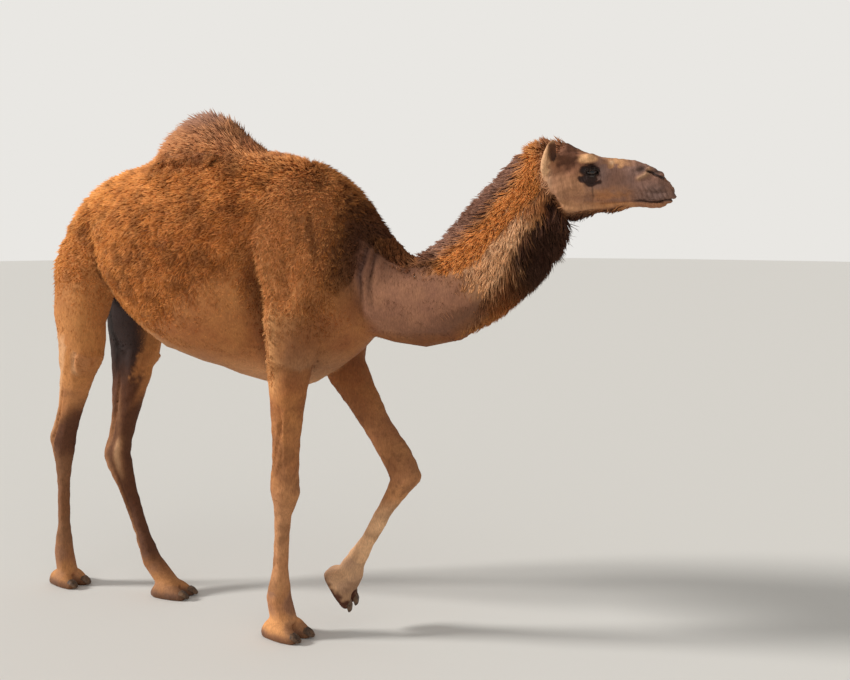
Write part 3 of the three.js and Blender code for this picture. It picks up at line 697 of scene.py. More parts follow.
def fleshCopy():
    # one mesh of all the flesh, each node's corners in a group named for its region
    parts = bmesh.new()
    parts.verts.layers.deform.verify()
    for index, group in enumerate(regions):
        extra = ["eye_left", "eye_right"] if group == "head" else []
        for node in regions[group] + extra:
            one = weldedSolid(node)
            one.normal_update()
            layer = one.verts.layers.deform.verify()
            for v in one.verts:
                v.co += v.normal * skinBuild["grow"]
                v[layer][index] = 1
            addTo(parts, one, node)
    made = addObject("flesh", meshOf(parts, "flesh"))
    for group in regions:
        made.vertex_groups.new(name=group)
    return made


def regionShares(ob):  # {region: share at each vertex}, which add up to 1
    names = [g.name for g in ob.vertex_groups]
    shares = np.zeros((len(ob.data.vertices), len(names)))
    for i, v in enumerate(ob.data.vertices):
        for g in v.groups:
            shares[i, g.group] = g.weight
    shares /= np.maximum(shares.sum(1, keepdims=True), 1e-6)
    return {n: shares[:, k] for k, n in enumerate(names)}


def edgesOf(mesh):
    return rows(mesh.edges, "vertices", 2, np.int32)


def spread(values, edges, rounds):  # evens values out over the mesh
    a, b = edges.T
    count = np.bincount(a, minlength=len(values)) + np.bincount(b, minlength=len(values))
    for _ in range(rounds):
        total = np.bincount(a, values[b], len(values)) + np.bincount(b, values[a], len(values))
        values = 0.5 * values + 0.5 * total / np.maximum(count, 1)
    return values


def largestPiece(mesh):  # drops the small shells that the remesh may leave inside
    edges = edgesOf(mesh)
    label = np.arange(len(mesh.vertices))
    while True:
        low = label[edges].min(1)
        new = label.copy()
        for end in edges.T:
            np.minimum.at(new, end, low)
        new = new[new]
        if (new == label).all():
            break
        label = new
    names, sizes = np.unique(label, return_counts=True)
    if len(names) > 1:
        bm = bmesh.new()
        bm.from_mesh(mesh)
        bm.verts.ensure_lookup_table()
        spare = np.flatnonzero(label != names[sizes.argmax()])
        bmesh.ops.delete(bm, geom=[bm.verts[i] for i in spare], context="VERTS")
        bm.to_mesh(mesh)
        bm.free()


def weightGroup(ob, name, values):
    group = ob.vertex_groups.new(name=name)
    steps = np.round(np.clip(values, 0, 1) * 40).astype(int)
    for step in np.unique(steps):
        if step:
            group.add(np.flatnonzero(steps == step).tolist(), step / 40, "REPLACE")
    return group


def makeSkinShell():
    flesh = fleshCopy()
    skin = addObject("skin", flesh.data.copy())
    modify(skin, "REMESH", mode="VOXEL", voxel_size=skinBuild["voxel"])
    applyModifiers(skin)
    largestPiece(skin.data)
    for group in regions:
        skin.vertex_groups.new(name=group)
    modify(skin, "DATA_TRANSFER", object=flesh, use_vert_data=True,
           data_types_verts={"VGROUP_WEIGHTS"}, vert_mapping="POLYINTERP_NEAREST")
    applyModifiers(skin)
    bpy.data.objects.remove(flesh)
    return skin


def outlineTree(skin):  # the solids' own outline, to measure from
    mesh = skin.data
    faces = [tuple(f.vertices) for f in mesh.polygons]
    return BVHTree.FromPolygons([v.co.copy() for v in mesh.vertices], faces)


def heightOver(tree, points):  # how far each point stands out of the outline, negative inside it
    made = np.zeros(len(points))
    for i, q in enumerate(points):
        spot, normal, _, _ = tree.find_nearest(q)
        made[i] = (Vector(q) - spot).dot(normal)
    return made


def softenSkin(skin, outline):
    # rounds off the flat facets of the solids, more on the big forms than on the head and feet,
    # then moves the rounded forms back out to the volume that they had
    part = regionShares(skin)
    edges = edgesOf(skin.data)
    weight = sum(softness.get(n, limbSoftness) * part[n] for n in part)
    weight += 0.8 * part["foot"] * rise(placesOf(skin.data)[:, 2], 0.14, 0.20)
    weight = spread(weight, edges, 25)
    group = weightGroup(skin, "soft", weight)
    modify(skin, "SMOOTH", factor=0.5, iterations=skinBuild["smoothRounds"], vertex_group=group.name)
    applyModifiers(skin)
    skin.vertex_groups.remove(skin.vertex_groups["soft"])
    co, normal = placesOf(skin.data), normalsOf(skin.data)
    lost = spread(heightOver(outline, co), edges, 40)
    lost = np.where(lost > 0, 0.3 * lost, lost)
    movePoints(skin.data, co - normal * (lost * rise(weight, 0.1, 0.4))[:, None])


def refineFace(skin):
    # finer faces on the head, and finer again round the eyes, nostrils and mouth
    bm = bmesh.new()
    bm.from_mesh(skin.data)
    for level in range(2):
        bm.verts.ensure_lookup_table()
        forward, left, up = headPlace(np.array([v.co for v in bm.verts]))
        side = np.abs(left)
        if level == 0:
            wanted = (forward > -0.25) & (up > -0.20)
        else:
            eye = (np.hypot(forward, up) < 0.042) & (side > 0.04)
            slit = (gapTo(nostrilLine, forward, up) < 0.016) & (forward > 0.1)
            mouth = (np.abs(up - lineAt(mouthLine, forward)) < 0.014) & (forward > -0.012)
            cleft = (side < 0.014) & (forward > 0.2) & (up > -0.1)
            wanted = (eye | slit | mouth | cleft) & (forward > -0.06)
        chosen = set(np.flatnonzero(wanted).tolist())
        edges = [e for e in bm.edges if e.verts[0].index in chosen and e.verts[1].index in chosen]
        bmesh.ops.subdivide_edges(bm, edges=edges, cuts=1, use_grid_fill=True, smooth=0)
        bmesh.ops.triangulate(bm, faces=[f for f in bm.faces if len(f.verts) > 4])
    bm.to_mesh(skin.data)
    bm.free()


foreCords = [  # how far ahead of the right fore leg's middle each cord runs, and its slope
    (-0.030, 0.10), (-0.006, 0.16), (0.016, -0.05), (0.034, 0.05),
]


def shapeBody(skin):
    # the flank's fold over the thigh, the shoulder's back edge, the folds where the neck leaves
    # the shoulder, and the cords and creases of the limbs
    part = regionShares(skin)
    co, normal = placesOf(skin.data), normalsOf(skin.data)
    x, y, z = co.T
    side = rise(np.abs(y), 0.06, 0.12)
    push = np.zeros(len(co))

    def groove(gap, middle, wide, narrow):  # wide on the hind side and narrow on the other
        return np.where(gap < middle, hill(gap, middle, wide), hill(gap, middle, narrow))

    flank = x - lineAt(thighLine, z)
    back = np.clip(part["trunk"] + part["hindRight"] + part["hindLeft"], 0, 1)
    sunk = (0.022 + 0.014 * rise(z, 1.26, 1.36)) * groove(flank, 0, 0.050, 0.010)
    push += back * (span(z, 1.06, 1.13, 1.50, 1.64) * side) * (0.009 * hill(flank, 0.040, 0.030) - sunk)
    elbow = x - lineAt(elbowLine, z)
    body = np.clip(part["trunk"] + part["neck"] + sum(part[n] for n in legRegions), 0, 1)
    sunk = 0.026 * groove(elbow, -0.012, 0.040, 0.010)
    push += body * (span(z, 1.02, 1.10, 1.40, 1.62) * side) * (0.020 * hill(elbow, 0.028, 0.025) - sunk)
    wave, where = neckFolds(co)
    push += 0.0045 * wave * where
    foot = z - 1.797 - 0.09 * (x + 0.40)
    push += 0.032 * part["trunk"] * hill(foot, 0.002, 0.050) * side * span(x, -0.70, -0.56, -0.22, -0.08)
    for name in legRegions:
        push += 0.0013 * waves(z, 0.017, 2 * ripple(co, 0.08, 22)) * part[name] * hill(z, 0.155, 0.03)
        push += 0.0011 * ripple(co, 0.05, 23) * part[name]
    for name in ("hindRight", "hindLeft"):
        own = part[name]
        back = x - lineAt(limbAxes[name], z)
        push -= 0.0085 * own * (hill(back, -0.030, 0.008) * span(z, 0.60, 0.68, 0.84, 0.96))
        push -= 0.0035 * own * hill(back, -0.011, 0.007) * span(z, 0.20, 0.26, 0.46, 0.52)
        push += 0.0040 * own * (hill(z, 0.60, 0.028) * hill(back, 0.012, 0.018))
        pad = np.hypot((back - 0.058) / 0.034, (z - 1.035) / 0.072)
        outer = own * outerSide(co, 0.04)
        push += outer * (0.009 * rise(pad, 1.2, 0.6) - 0.005 * hill(pad, 1.3, 0.24))
        push += 0.0020 * outer * waves(z + 0.4 * x, 0.024) * rise(pad, 1.1, 0.8)
    fore = part["foreRight"]
    ahead = x - lineAt(limbAxes["foreRight"], z)
    for offset, slope in foreCords:
        cord = ahead - offset - slope * (z - 0.74) + 0.002 * ripple(co, 0.30, 26)
        raised = hill(cord, 0.011, 0.008) - hill(cord, 0, 0.007)
        push += 0.0034 * raised * fore * span(z, 0.58, 0.70, 0.80, 0.98)
    push += 0.0035 * fore * hill(z, 0.545, 0.035) * rise(ahead, -0.02, 0.02)
    push -= 0.0015 * fore * hill(z, 0.606, 0.008)
    push -= 0.0034 * fore * hill(z, 0.484, 0.018) * rise(ahead, -0.03, 0.0)
    push += 0.0025 * fore * hill(z, 0.572, 0.034) * rise(ahead, 0.0, 0.03)
    push -= 0.0035 * fore * hill(ahead, -0.012, 0.006) * span(z, 0.20, 0.26, 0.40, 0.46)
    push += 0.0026 * ripple(co, 0.14, 24) * (part["trunk"] + part["neck"])
    movePoints(skin.data, co + normal * push[:, None])


def eyeFrame(sign):  # the way the eye looks, and the ways forward and up across it
    gaze = unit(0.30 * headForward + sign * headLeft + np.array([0, 0, 0.04]))
    across = unit(headForward - (headForward @ gaze) * gaze)
    rising = unit(np.array([0, 0, 1.0]) - gaze[2] * gaze)
    return gaze, across, unit(rising - (rising @ across) * across)


lids = {"wide": 0.84, "upper": 0.40, "lower": 0.34, "slant": 0.10, "thick": 0.0030}


def lidShape(co, sign):
    # the skin parts over the eyeball, and its edges stand a little proud as lids
    gaze, across, rising = eyeFrame(sign)
    d = co - eyeSpots[sign]
    r = np.linalg.norm(d, axis=1)
    u = d / np.maximum(r, 1e-6)[:, None]
    facing, a, b = u @ gaze, u @ across, u @ rising
    tall = np.where(b - lids["slant"] * a > 0, lids["upper"], lids["lower"])
    opening = np.sqrt((a / lids["wide"]) ** 2 + ((b - lids["slant"] * a) / tall) ** 2)
    above = rise(b, -0.1, 0.15)
    lidRadius = eyeRadius + lids["thick"] + 0.0030 * hill(opening, 1.16, 0.20) * above
    lid = rise(opening, 2.3, 1.5)
    pulled = r * (1 - lid) + lidRadius * lid
    pulled += 0.0018 * hill(opening, 1.10, 0.12)
    pulled -= 0.0032 * hill(opening, 2.05, 0.22) * (0.5 + 0.5 * above)
    inside = rise(opening, 1.05, 0.93)
    target = pulled * (1 - inside) + eyeRadius * 0.80 * inside
    fade = rise(facing, 0.0, 0.35) * rise(r, 0.060, 0.046)
    r = r + (target - r) * fade
    return eyeSpots[sign] + u * r[:, None]


flankForms = [
    # out or in, forward and its spread, up and its spread, where it starts and is full to the side
    (0.0140, -0.012, 0.028, 0.043, 0.015, (0.035, 0.060)),  # brow
    (-0.0080, -0.004, 0.034, 0.022, 0.009, (0.025, 0.050)),  # crease under the brow
    (0.0050, -0.045, 0.020, 0.020, 0.022, (0.025, 0.050)),
    (-0.0075, 0.052, 0.022, 0.004, 0.024, (0.025, 0.050)),  # hollow before the eye
    (0.0060, -0.105, 0.045, -0.080, 0.045, (0.025, 0.050)),  # jaw muscle
    (-0.0055, 0.095, 0.040, -0.024, 0.018, (0.025, 0.050)),
    (-0.0070, -0.085, 0.030, 0.038, 0.022, (0.025, 0.050)),  # temple
    (0.0030, 0.075, 0.045, 0.036, 0.010, (0.015, 0.035)),  # edge of the nose's bridge
]


def shapeHead(skin):
    part = regionShares(skin)
    co, normal = placesOf(skin.data), normalsOf(skin.data)
    head = part["head"]
    forward, left, up = headPlace(co)
    side = np.abs(left)
    outer = rise(side, 0.008, 0.016)
    flank = rise(side, 0.025, 0.050)
    push = np.zeros(len(co))
    for out, ahead, long, high, tall, edge in flankForms:
        push += out * hill(forward, ahead, long) * hill(up, high, tall) * rise(side, *edge)
    push += 0.0055 * hill(up + 0.052 + 0.10 * forward, 0, 0.012) * hill(forward, 0.04, 0.085) * flank
    push -= 0.0045 * hill(up + 0.082, 0, 0.010) * hill(forward, 0.03, 0.075) * flank
    push -= 0.0035 * hill(left, 0, 0.016) * hill(forward, 0.0, 0.07) * rise(up, 0.02, 0.05)
    # nostril: a slit under a raised rim, a fold that curls round behind it and a pit behind that
    gap = gapTo(nostrilLine, forward, up)
    high = rise(up - lineAt(nostrilLine, forward), -0.002, 0.004)
    push -= 0.0115 * hill(gap, 0, 0.0034) * outer
    push += 0.0052 * hill(gap, 0.0085, 0.0040) * outer * high * rise(forward, 0.250, 0.225)
    push += 0.0022 * hill(gap, 0.0090, 0.0045) * outer * (1 - high)
    push += 0.0060 * hill(gapTo(foldLine, forward, up), 0, 0.0060) * outer
    push -= 0.0060 * hill(np.hypot(forward - 0.157, (up - 0.008) * 1.2), 0, 0.011) * outer
    push -= 0.0040 * hill(np.hypot((forward - 0.185) * 0.8, up + 0.022), 0, 0.010) * outer
    # mouth: a parting that deepens to the front, with full lips over and under it
    line = up - lineAt(mouthLine, forward)
    push -= (0.0020 + 0.0070 * rise(forward, 0.12, 0.16)) * hill(line, 0, 0.0028) * rise(forward, -0.015, 0.020)
    push += 0.0050 * hill(line, 0.0115, 0.0075) * rise(forward, 0.11, 0.20)
    push += 0.0080 * hill(line, -0.0100, 0.0065) * span(forward, 0.135, 0.165, 0.225, 0.250)
    push -= 0.0045 * hill(line, 0.029, 0.006) * span(forward, 0.13, 0.19, 0.235, 0.262)
    crease = up + 0.056 + 0.32 * (forward - 0.10)
    push -= 0.0035 * hill(crease, 0, 0.0045) * span(forward, 0.08, 0.11, 0.17, 0.20)
    # the split upper lip, and the groove from it up between the nostrils
    push -= 0.0065 * hill(left, 0, 0.0033) * rise(forward, 0.215, 0.240) * rise(line, 0.0, 0.006)
    # fine wrinkles of the muzzle and round the eye
    wrinkle = waves(forward * 0.7 + up, 0.0080, 1.5 * ripple(co, 0.05, 31))
    push += 0.0007 * wrinkle * rise(forward, 0.13, 0.18) * rise(line, 0.004, 0.012)
    ring = np.hypot(forward, up * 1.15)
    push += 0.0012 * waves(ring, 0.0085) * hill(ring, 0.040, 0.010) * flank * rise(up, 0.0, -0.015)
    pleat = waves(forward + 0.5 * up, 0.017, ripple(co, 0.05, 34))
    push -= 0.0012 * pleat * hill(up, -0.066, 0.024) * rise(forward, 0.12, 0.17)
    push += 0.0010 * ripple(co, 0.025, 32)
    co = co + normal * (push * head)[:, None]
    for sign in (1, -1):
        own = (left * sign > 0.02) & (head > 0.5)
        co[own] = lidShape(co[own], sign)
    movePoints(skin.data, co)


def sinkSkin(skin):
    # the skin lies inside the solids by the depth of its coat, and the soles stay on the floor
    part = regionShares(skin)
    co, normal = placesOf(skin.data), normalsOf(skin.data)
    depth = spread(depthOf(co, part), edgesOf(skin.data), 16)
    forward, _, up = headPlace(co)
    face = rise(forward, -0.13, -0.06) * part["head"] * rise(up, -0.135, -0.12)
    depth = depth * (1 - face) + 0.0006 * face
    depth *= rise(co[:, 2], 0.004, 0.03)
    movePoints(skin.data, co - normal * depth[:, None])


def thinOut(skin):
    # fewer faces where the coat hides them, all of them kept on the face
    part = regionShares(skin)
    forward = headPlace(placesOf(skin.data))[0]
    keep = np.clip(part["head"] * rise(forward, -0.14, -0.10) + part["ear"], 0, 1)
    keep += 0.35 * part["foot"] + 0.15 * sum(part[n] for n in legRegions)
    group = weightGroup(skin, "keep", 1 - np.clip(keep, 0, 1))
    skin.data.calc_loop_triangles()
    modify(skin, "DECIMATE", ratio=skinBuild["triangles"] / len(skin.data.loop_triangles),
           vertex_group=group.name, vertex_group_factor=4, use_collapse_triangulate=True)
    applyModifiers(skin)
    skin.vertex_groups.remove(skin.vertex_groups["keep"])


def unwrapSkin(skin):
    bpy.ops.object.select_all(action="DESELECT")
    bpy.context.view_layer.objects.active = skin
    skin.select_set(True)
    skin.data.uv_layers.new(name="OFBake")
    bpy.ops.object.mode_set(mode="EDIT")
    bpy.ops.mesh.select_all(action="SELECT")
    bpy.ops.uv.smart_project(angle_limit=math.radians(66), island_margin=0.002)
    bpy.ops.object.mode_set(mode="OBJECT")


skin = makeSkinShell()
print("camel: skin remeshed,", len(skin.data.vertices), "points")
outline = outlineTree(skin)
softenSkin(skin, outline)
refineFace(skin)
shapeBody(skin)
shapeHead(skin)
sinkSkin(skin)
thinOut(skin)
unwrapSkin(skin)
roundShade(skin.data)
skinPart = regionShares(skin)
for name, values in marksAndPaintedLight(placesOf(skin.data), skinPart).items():
    putValues(skin.data, name, values)
print("camel: skin shaped,", len(skin.data.polygons), "faces")


# ---------- materials

coatTones = {
    # painted shade: the rust that the hide under the long coat is darkened towards
    "underCoatShadow": "8a5530",
    "gold": "eaa15c",
    "umber": "4f2d1e",
    "sable": "3a2722",
    "fawn": "e2b286",
    "ash": "947468",
    "bare": "2b1f1c",
}


def attributeNode(tree, name):
    return addNode(tree, "ShaderNodeAttribute", output="Fac", attribute_name=name)


def mixColour(tree, share, under, over, kind="MIX"):
    inputs = {0: share, 6: under, 7: over}
    return addNode(tree, "ShaderNodeMix", inputs, 2, data_type="RGBA", blend_type=kind)


def noiseNode(tree, scale, detail=3, roughness=0.6, stretch=(1, 1, 1)):
    place = addNode(tree, "ShaderNodeTexCoord", output="Object")
    vector = addNode(tree, "ShaderNodeMapping", {0: place, "Scale": stretch})
    inputs = {"Scale": scale, "Detail": detail, "Roughness": roughness, "Vector": vector}
    return addNode(tree, "ShaderNodeTexNoise", inputs, "Fac")


def mathNode(tree, kind, a, b):
    return addNode(tree, "ShaderNodeMath", {0: a, 1: b}, operation=kind)


def bandNode(tree, value, low, high, fromLow=0.0, fromHigh=1.0):
    ends = {"From Min": fromLow, "From Max": fromHigh, "To Min": low, "To Max": high}
    return addNode(tree, "ShaderNodeMapRange", {"Value": value, **ends})


def bumpNode(tree, height, strength, distance):
    return addNode(tree, "ShaderNodeBump", {"Strength": strength, "Distance": distance, "Height": height})


def markedColour(tree, low, high):
    # the coat's colours laid over each other by the markings, and the painted light and shade, on the mesh
    patch = bandNode(tree, noiseNode(tree, 9, 4), 0, 1, 0.35, 0.68)
    colour = mixColour(tree, patch, tone(low), tone(high))
    for name in markNames:
        colour = mixColour(tree, attributeNode(tree, name), colour, tone(coatTones[name]))
    return colour


def makeCoatMaterial(name, low, high, rootShade, tipLift):
    # the roots are darker than the middle of each tuft, painted shade from the coat over them, and the tips
    # paler
    def look(tree):
        colour = markedColour(tree, low, high)
        tint, tip = attributeNode(tree, "tint"), attributeNode(tree, "tip")
        dark = mixColour(tree, 1.0, colour, (rootShade, rootShade * 0.92, rootShade * 0.86, 1), "MULTIPLY")
        colour = mixColour(tree, bandNode(tree, tip, 0, 1, 0.05, 0.55), dark, colour)
        pale = mixColour(tree, 1.0, colour, (tipLift, tipLift * 0.97, tipLift * 0.90, 1), "MULTIPLY")
        colour = mixColour(tree, bandNode(tree, tip, 0, 1, 0.55, 1.0), colour, pale)
        shade = addNode(tree, "ShaderNodeHueSaturation", {
            "Color": colour,
            "Value": bandNode(tree, tint, 0.76, 1.24),
            "Saturation": bandNode(tree, tint, 1.06, 0.97),
            "Hue": bandNode(tree, tint, 0.494, 0.502),
        })
        return {"Base Color": shade, "Roughness": 0.85, "Specular IOR Level": 0.12}

    return makeMaterial(name, look)


def skinLook(tree):
    colour = markedColour(tree, "9a5c32", "b0723f")
    strands = noiseNode(tree, 260, 2, 0.6, (1, 1, 0.22))
    speck = noiseNode(tree, 60, 3, 0.6)
    grains = [mathNode(tree, "MULTIPLY", strands, 0.6), mathNode(tree, "MULTIPLY", speck, 0.4)]
    both = mathNode(tree, "ADD", *grains)
    value = bandNode(tree, both, 0.72, 1.25, 0.3, 0.7)
    shade = addNode(tree, "ShaderNodeHueSaturation", {"Color": colour, "Value": value})
    # painted shade: the hide under the long coat is darkened towards a shaded rust
    root = tone(coatTones["underCoatShadow"])
    return {
        "Base Color": mixColour(tree, attributeNode(tree, "covered"), shade, root, "MULTIPLY"),
        "Normal": bumpNode(tree, both, 0.8, 0.002),
        "Roughness": bandNode(tree, attributeNode(tree, "bare"), 0.82, 0.5),
        "Specular IOR Level": 0.2,
    }


# painted shade on the hide wherever the long coat covers it
coveredShade = 0.35
skinMask = coatMasks(placesOf(skin.data), skinPart)
covered = sum(skinMask[n] for n in ("wool", "nape", "throat", "poll"))
putValues(skin.data, "covered", np.clip(covered, 0, 1) * coveredShade)
skin.data.materials.append(makeMaterial("shortHairedHide", skinLook))
woolMaterial = makeCoatMaterial("crimpedWool", "b96e3a", "d8965a", 0.72, 1.35)
maneMaterial = makeCoatMaterial("longMane", "c07640", "dc9a5c", 0.66, 1.40)
shortMaterial = makeCoatMaterial("shortHair", "a46637", "b87945", 0.85, 1.12)


# ---------- one tuft of each kind, one unit long, wide and high

def tuftMesh(name, rings, curve, taper, thick):
    # a three-sided lock that follows the curve and ends in a point
    verts, faces, tips = [], [(0, 1, 2)], []
    for k in range(rings):
        t = k / rings
        x, y, z = curve(t)
        w = taper(t) / 2
        h = thick * taper(t)
        verts += [(x, y - w, z - h * 0.3), (x, y + w, z - h * 0.3), (x, y, z + h * 0.7)]
        tips += [t] * 3
    verts.append(curve(1))
    tips.append(1)
    last = len(verts) - 1
    for a in range(0, last, 3):
        for i in range(3):
            j = (i + 1) % 3
            end = (last,) if a + 3 == last else (a + 3 + i, a + 3 + j)
            faces.append((a + i, *end, a + j))
    mesh = meshFrom(name, verts, faces)
    roundShade(mesh)
    putValues(mesh, "tip", tips)
    across = [0.15, 0.85, 0.5] * rings + [0.5]
    own = [(across[c.vertex_index], tips[c.vertex_index], 0) for c in mesh.loops]
    putValues(mesh, "own", own, "FLOAT_VECTOR", "CORNER")
    return mesh


def tuftSet(name, count, rings, bend, curl, taper, thick, seed):
    rng = np.random.default_rng(seed)
    group = bpy.data.collections.new(name)
    for k in range(count):
        sway, turns, start = rng.uniform(-1, 1), rng.uniform(0.6, 1.5), rng.uniform(0, 6.3)
        lift = rng.uniform(0.8, 1.1)

        def curve(t):
            y = curl * (sway * t * t + 0.5 * (math.sin(start + turns * 6.3 * t) - math.sin(start)) * t)
            z = lift * (1 - (1 - t) ** bend) + 0.05 * curl * math.sin(turns * 7 * t) * t
            return (t, y, z)

        mesh = tuftMesh(f"{name}{k}", rings, curve, taper, thick)
        group.objects.link(bpy.data.objects.new(mesh.name, mesh))
    return group


tufts = {
    "wool": tuftSet("woolLock", 6, 2, 1.4, 1.7, lambda t: 1 - 0.45 * t, 0.20, 41),
    "mane": tuftSet("maneLock", 6, 4, 1.5, 1.2, lambda t: 1 - 0.6 * t, 0.14, 42),
    "short": tuftSet("hairSliver", 4, 1, 1.0, 0.6, lambda t: 1.0, 0.35, 43),
}
trianglesPerTuft = {"wool": 10, "mane": 22, "short": 4, "fuzz": 4}


# ---------- the coat's own tree of nodes: an instance of a tuft at every root, made real

def coatTree(name, group, material):
    tree = bpy.data.node_groups.new(name, "GeometryNodeTree")
    for socket, way, kind in (
        ("Roots", "INPUT", "NodeSocketGeometry"),
        ("Patch size", "INPUT", "NodeSocketFloat"),
        ("Coat", "OUTPUT", "NodeSocketGeometry"),
    ):
        tree.interface.new_socket(socket, in_out=way, socket_type=kind)

    def named(attribute, kind="FLOAT_VECTOR"):
        inputs = {"Name": attribute}
        return addNode(tree, "GeometryNodeInputNamedAttribute", inputs, "Attribute", data_type=kind)

    start = tree.nodes.new("NodeGroupInput").outputs
    axes = {0: named("away"), 1: named("lie")}
    copies = addNode(tree, "GeometryNodeInstanceOnPoints", {
        "Points": addNode(tree, "GeometryNodeMeshToPoints", {"Mesh": start["Roots"]}),
        "Instance": addNode(tree, "GeometryNodeCollectionInfo", {
            "Collection": group, "Separate Children": True, "Reset Children": True,
        }),
        "Pick Instance": True,
        "Instance Index": named("pick", "INT"),
        "Rotation": addNode(tree, "FunctionNodeAxesToRotation", axes, primary_axis="Z", secondary_axis="X"),
        "Scale": named("size"),
    })
    real = addNode(tree, "GeometryNodeRealizeInstances", {0: copies})
    # each tuft takes its colours from a small patch of the skin's map round its root
    centred = addNode(tree, "ShaderNodeVectorMath", {0: named("own"), 1: (0.5, 0.5, 0)}, operation="SUBTRACT")
    sized = {0: centred, "Scale": start["Patch size"]}
    scaled = addNode(tree, "ShaderNodeVectorMath", sized, operation="SCALE")
    placed = addNode(tree, "ShaderNodeVectorMath", {0: scaled, 1: named("rootMap")})
    mapped = {"Name": "OFBake", "Geometry": real, "Value": placed}
    stored = addNode(tree, "GeometryNodeStoreNamedAttribute", mapped, data_type="FLOAT2", domain="CORNER")
    coat = addNode(tree, "GeometryNodeSetMaterial", {0: stored, "Material": material})
    connect(tree, tree.nodes.new("NodeGroupOutput"), {0: coat})
    return tree


trees = {
    "wool": coatTree("woolCoat", tufts["wool"], woolMaterial),
    "mane": coatTree("maneCoat", tufts["mane"], maneMaterial),
    "short": coatTree("shortCoat", tufts["short"], shortMaterial),
    "fuzz": coatTree("fuzzCoat", tufts["short"], woolMaterial),
}
patchSize = 0.003
rootVectors = ["away", "lie", "size", "rootMap"]
rootShades = ["tint"] + markNames


def growPiece(name, kind, roots):
    # roots: a dictionary of arrays, one row for each tuft
    mesh = meshFrom(name, roots["place"], [], outward=False)
    for key in rootVectors:
        putValues(mesh, key, roots[key], "FLOAT_VECTOR")
    putValues(mesh, "pick", roots["pick"], "INT")
    for key in rootShades:
        putValues(mesh, key, roots[key])
    made = addObject(name, mesh)
    grow = modify(made, "NODES", node_group=trees[kind])
    sockets = {s.name: s.identifier for s in trees[kind].interface.items_tree}
    grow[sockets["Patch size"]] = patchSize
    applyModifiers(made)
    for key in rootVectors + ["own", "pick"]:
        layer = made.data.attributes.get(key)
        if layer:
            made.data.attributes.remove(layer)
    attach(made, "root")
    return made


# ---------- roots: where tufts grow on the skin, and which way they lie

skin.data.calc_loop_triangles()
corners = rows(skin.data.loop_triangles, "vertices", 3, np.int32)
loops = rows(skin.data.loop_triangles, "loops", 3, np.int32)
skinPlace = placesOf(skin.data)
skinNormal = normalsOf(skin.data)
skinMap = rows(skin.data.uv_layers["OFBake"].uv, "vector", 2, np.float32)
edgeA = skinPlace[corners[:, 1]] - skinPlace[corners[:, 0]]
edgeB = skinPlace[corners[:, 2]] - skinPlace[corners[:, 0]]
triangleArea = np.linalg.norm(np.cross(edgeA, edgeB), axis=1) / 2
partTable = np.stack(list(skinPart.values()), 1)


def scatter(count, density, seed):
    # random points on the skin, more of them where density is higher
    rng = np.random.default_rng(seed)
    weight = triangleArea * density[corners].mean(1)
    picked = rng.choice(len(weight), count, p=weight / weight.sum())
    a, b = rng.random(count), rng.random(count)
    flip = a + b > 1
    a[flip], b[flip] = 1 - a[flip], 1 - b[flip]
    share = np.stack([1 - a - b, a, b], 1)

    def blendOf(values, at=corners):
        return (values[at[picked]] * share[:, :, None]).sum(1)

    return {
        "place": blendOf(skinPlace),
        "away": unit(blendOf(skinNormal)),
        "rootMap": np.concatenate([blendOf(skinMap, loops), np.zeros((count, 1))], 1),
        "part": dict(zip(skinPart, blendOf(partTable).T)),
        "rng": rng,
    }


def flat(v, away):  # the part of v that lies along the skin
    return unit(v - (v * away).sum(1)[:, None] * away)


def lieOf(p, away, part):
    # hair runs down and back on the body, down on neck, legs and tail, and back from the nose
    x, z = p[:, 0], p[:, 2]
    along, front = neckPlace(p)
    mask = coatMasks(p, part)
    trunk = part["trunk"]
    neck = mask["neck"] * (1 - trunk)
    limbs = np.clip(sum(part[n] for n in legRegions) + part["foot"] + part["tail"], 0, 1)
    way = np.tile([-0.38, 0.0, -0.80], (len(p), 1))
    for share, direction in (
        (trunk * rise(x, -0.10, 0.10), (-0.15, 0, -0.9)),
        (trunk * rise(z, 1.76, 1.86), (-0.6, 0, -0.45)),
        (neck, (-0.20, 0, -1)),
        (neck * rise(along, 0.80, 0.95) * rise(front, -0.2, 0.3), (0.10, 0, -1)),
        (mask["nape"], (-0.8, 0, -0.05)),
        (mask["throat"], (0.28, 0, -0.9)),
        (part["head"] * (1 - mask["neck"]), -headForward + np.array([0, 0, -0.25])),
        (mask["poll"], (-0.5, 0, 0.5)),
        (mask["jaw"], (-0.5, 0, -0.8)),
        (limbs, (-0.12, 0, -1)),
        (part["ear"], (-0.2, 0, 1)),
    ):
        way = way * (1 - share)[:, None] + np.asarray(direction) * share[:, None]
    return flat(way, away)


def turned(v, axis, angle):
    c, s = np.cos(angle)[:, None], np.sin(angle)[:, None]
    return v * c + np.cross(axis, v) * s


def nearestOf(spots, p):  # for each point the number of the nearest spot
    tree = KDTree(len(spots))
    for i, spot in enumerate(spots):
        tree.insert(spot, i)
    tree.balance()
    return np.array([tree.find(q)[1] for q in p])


rootDepth = 0.002


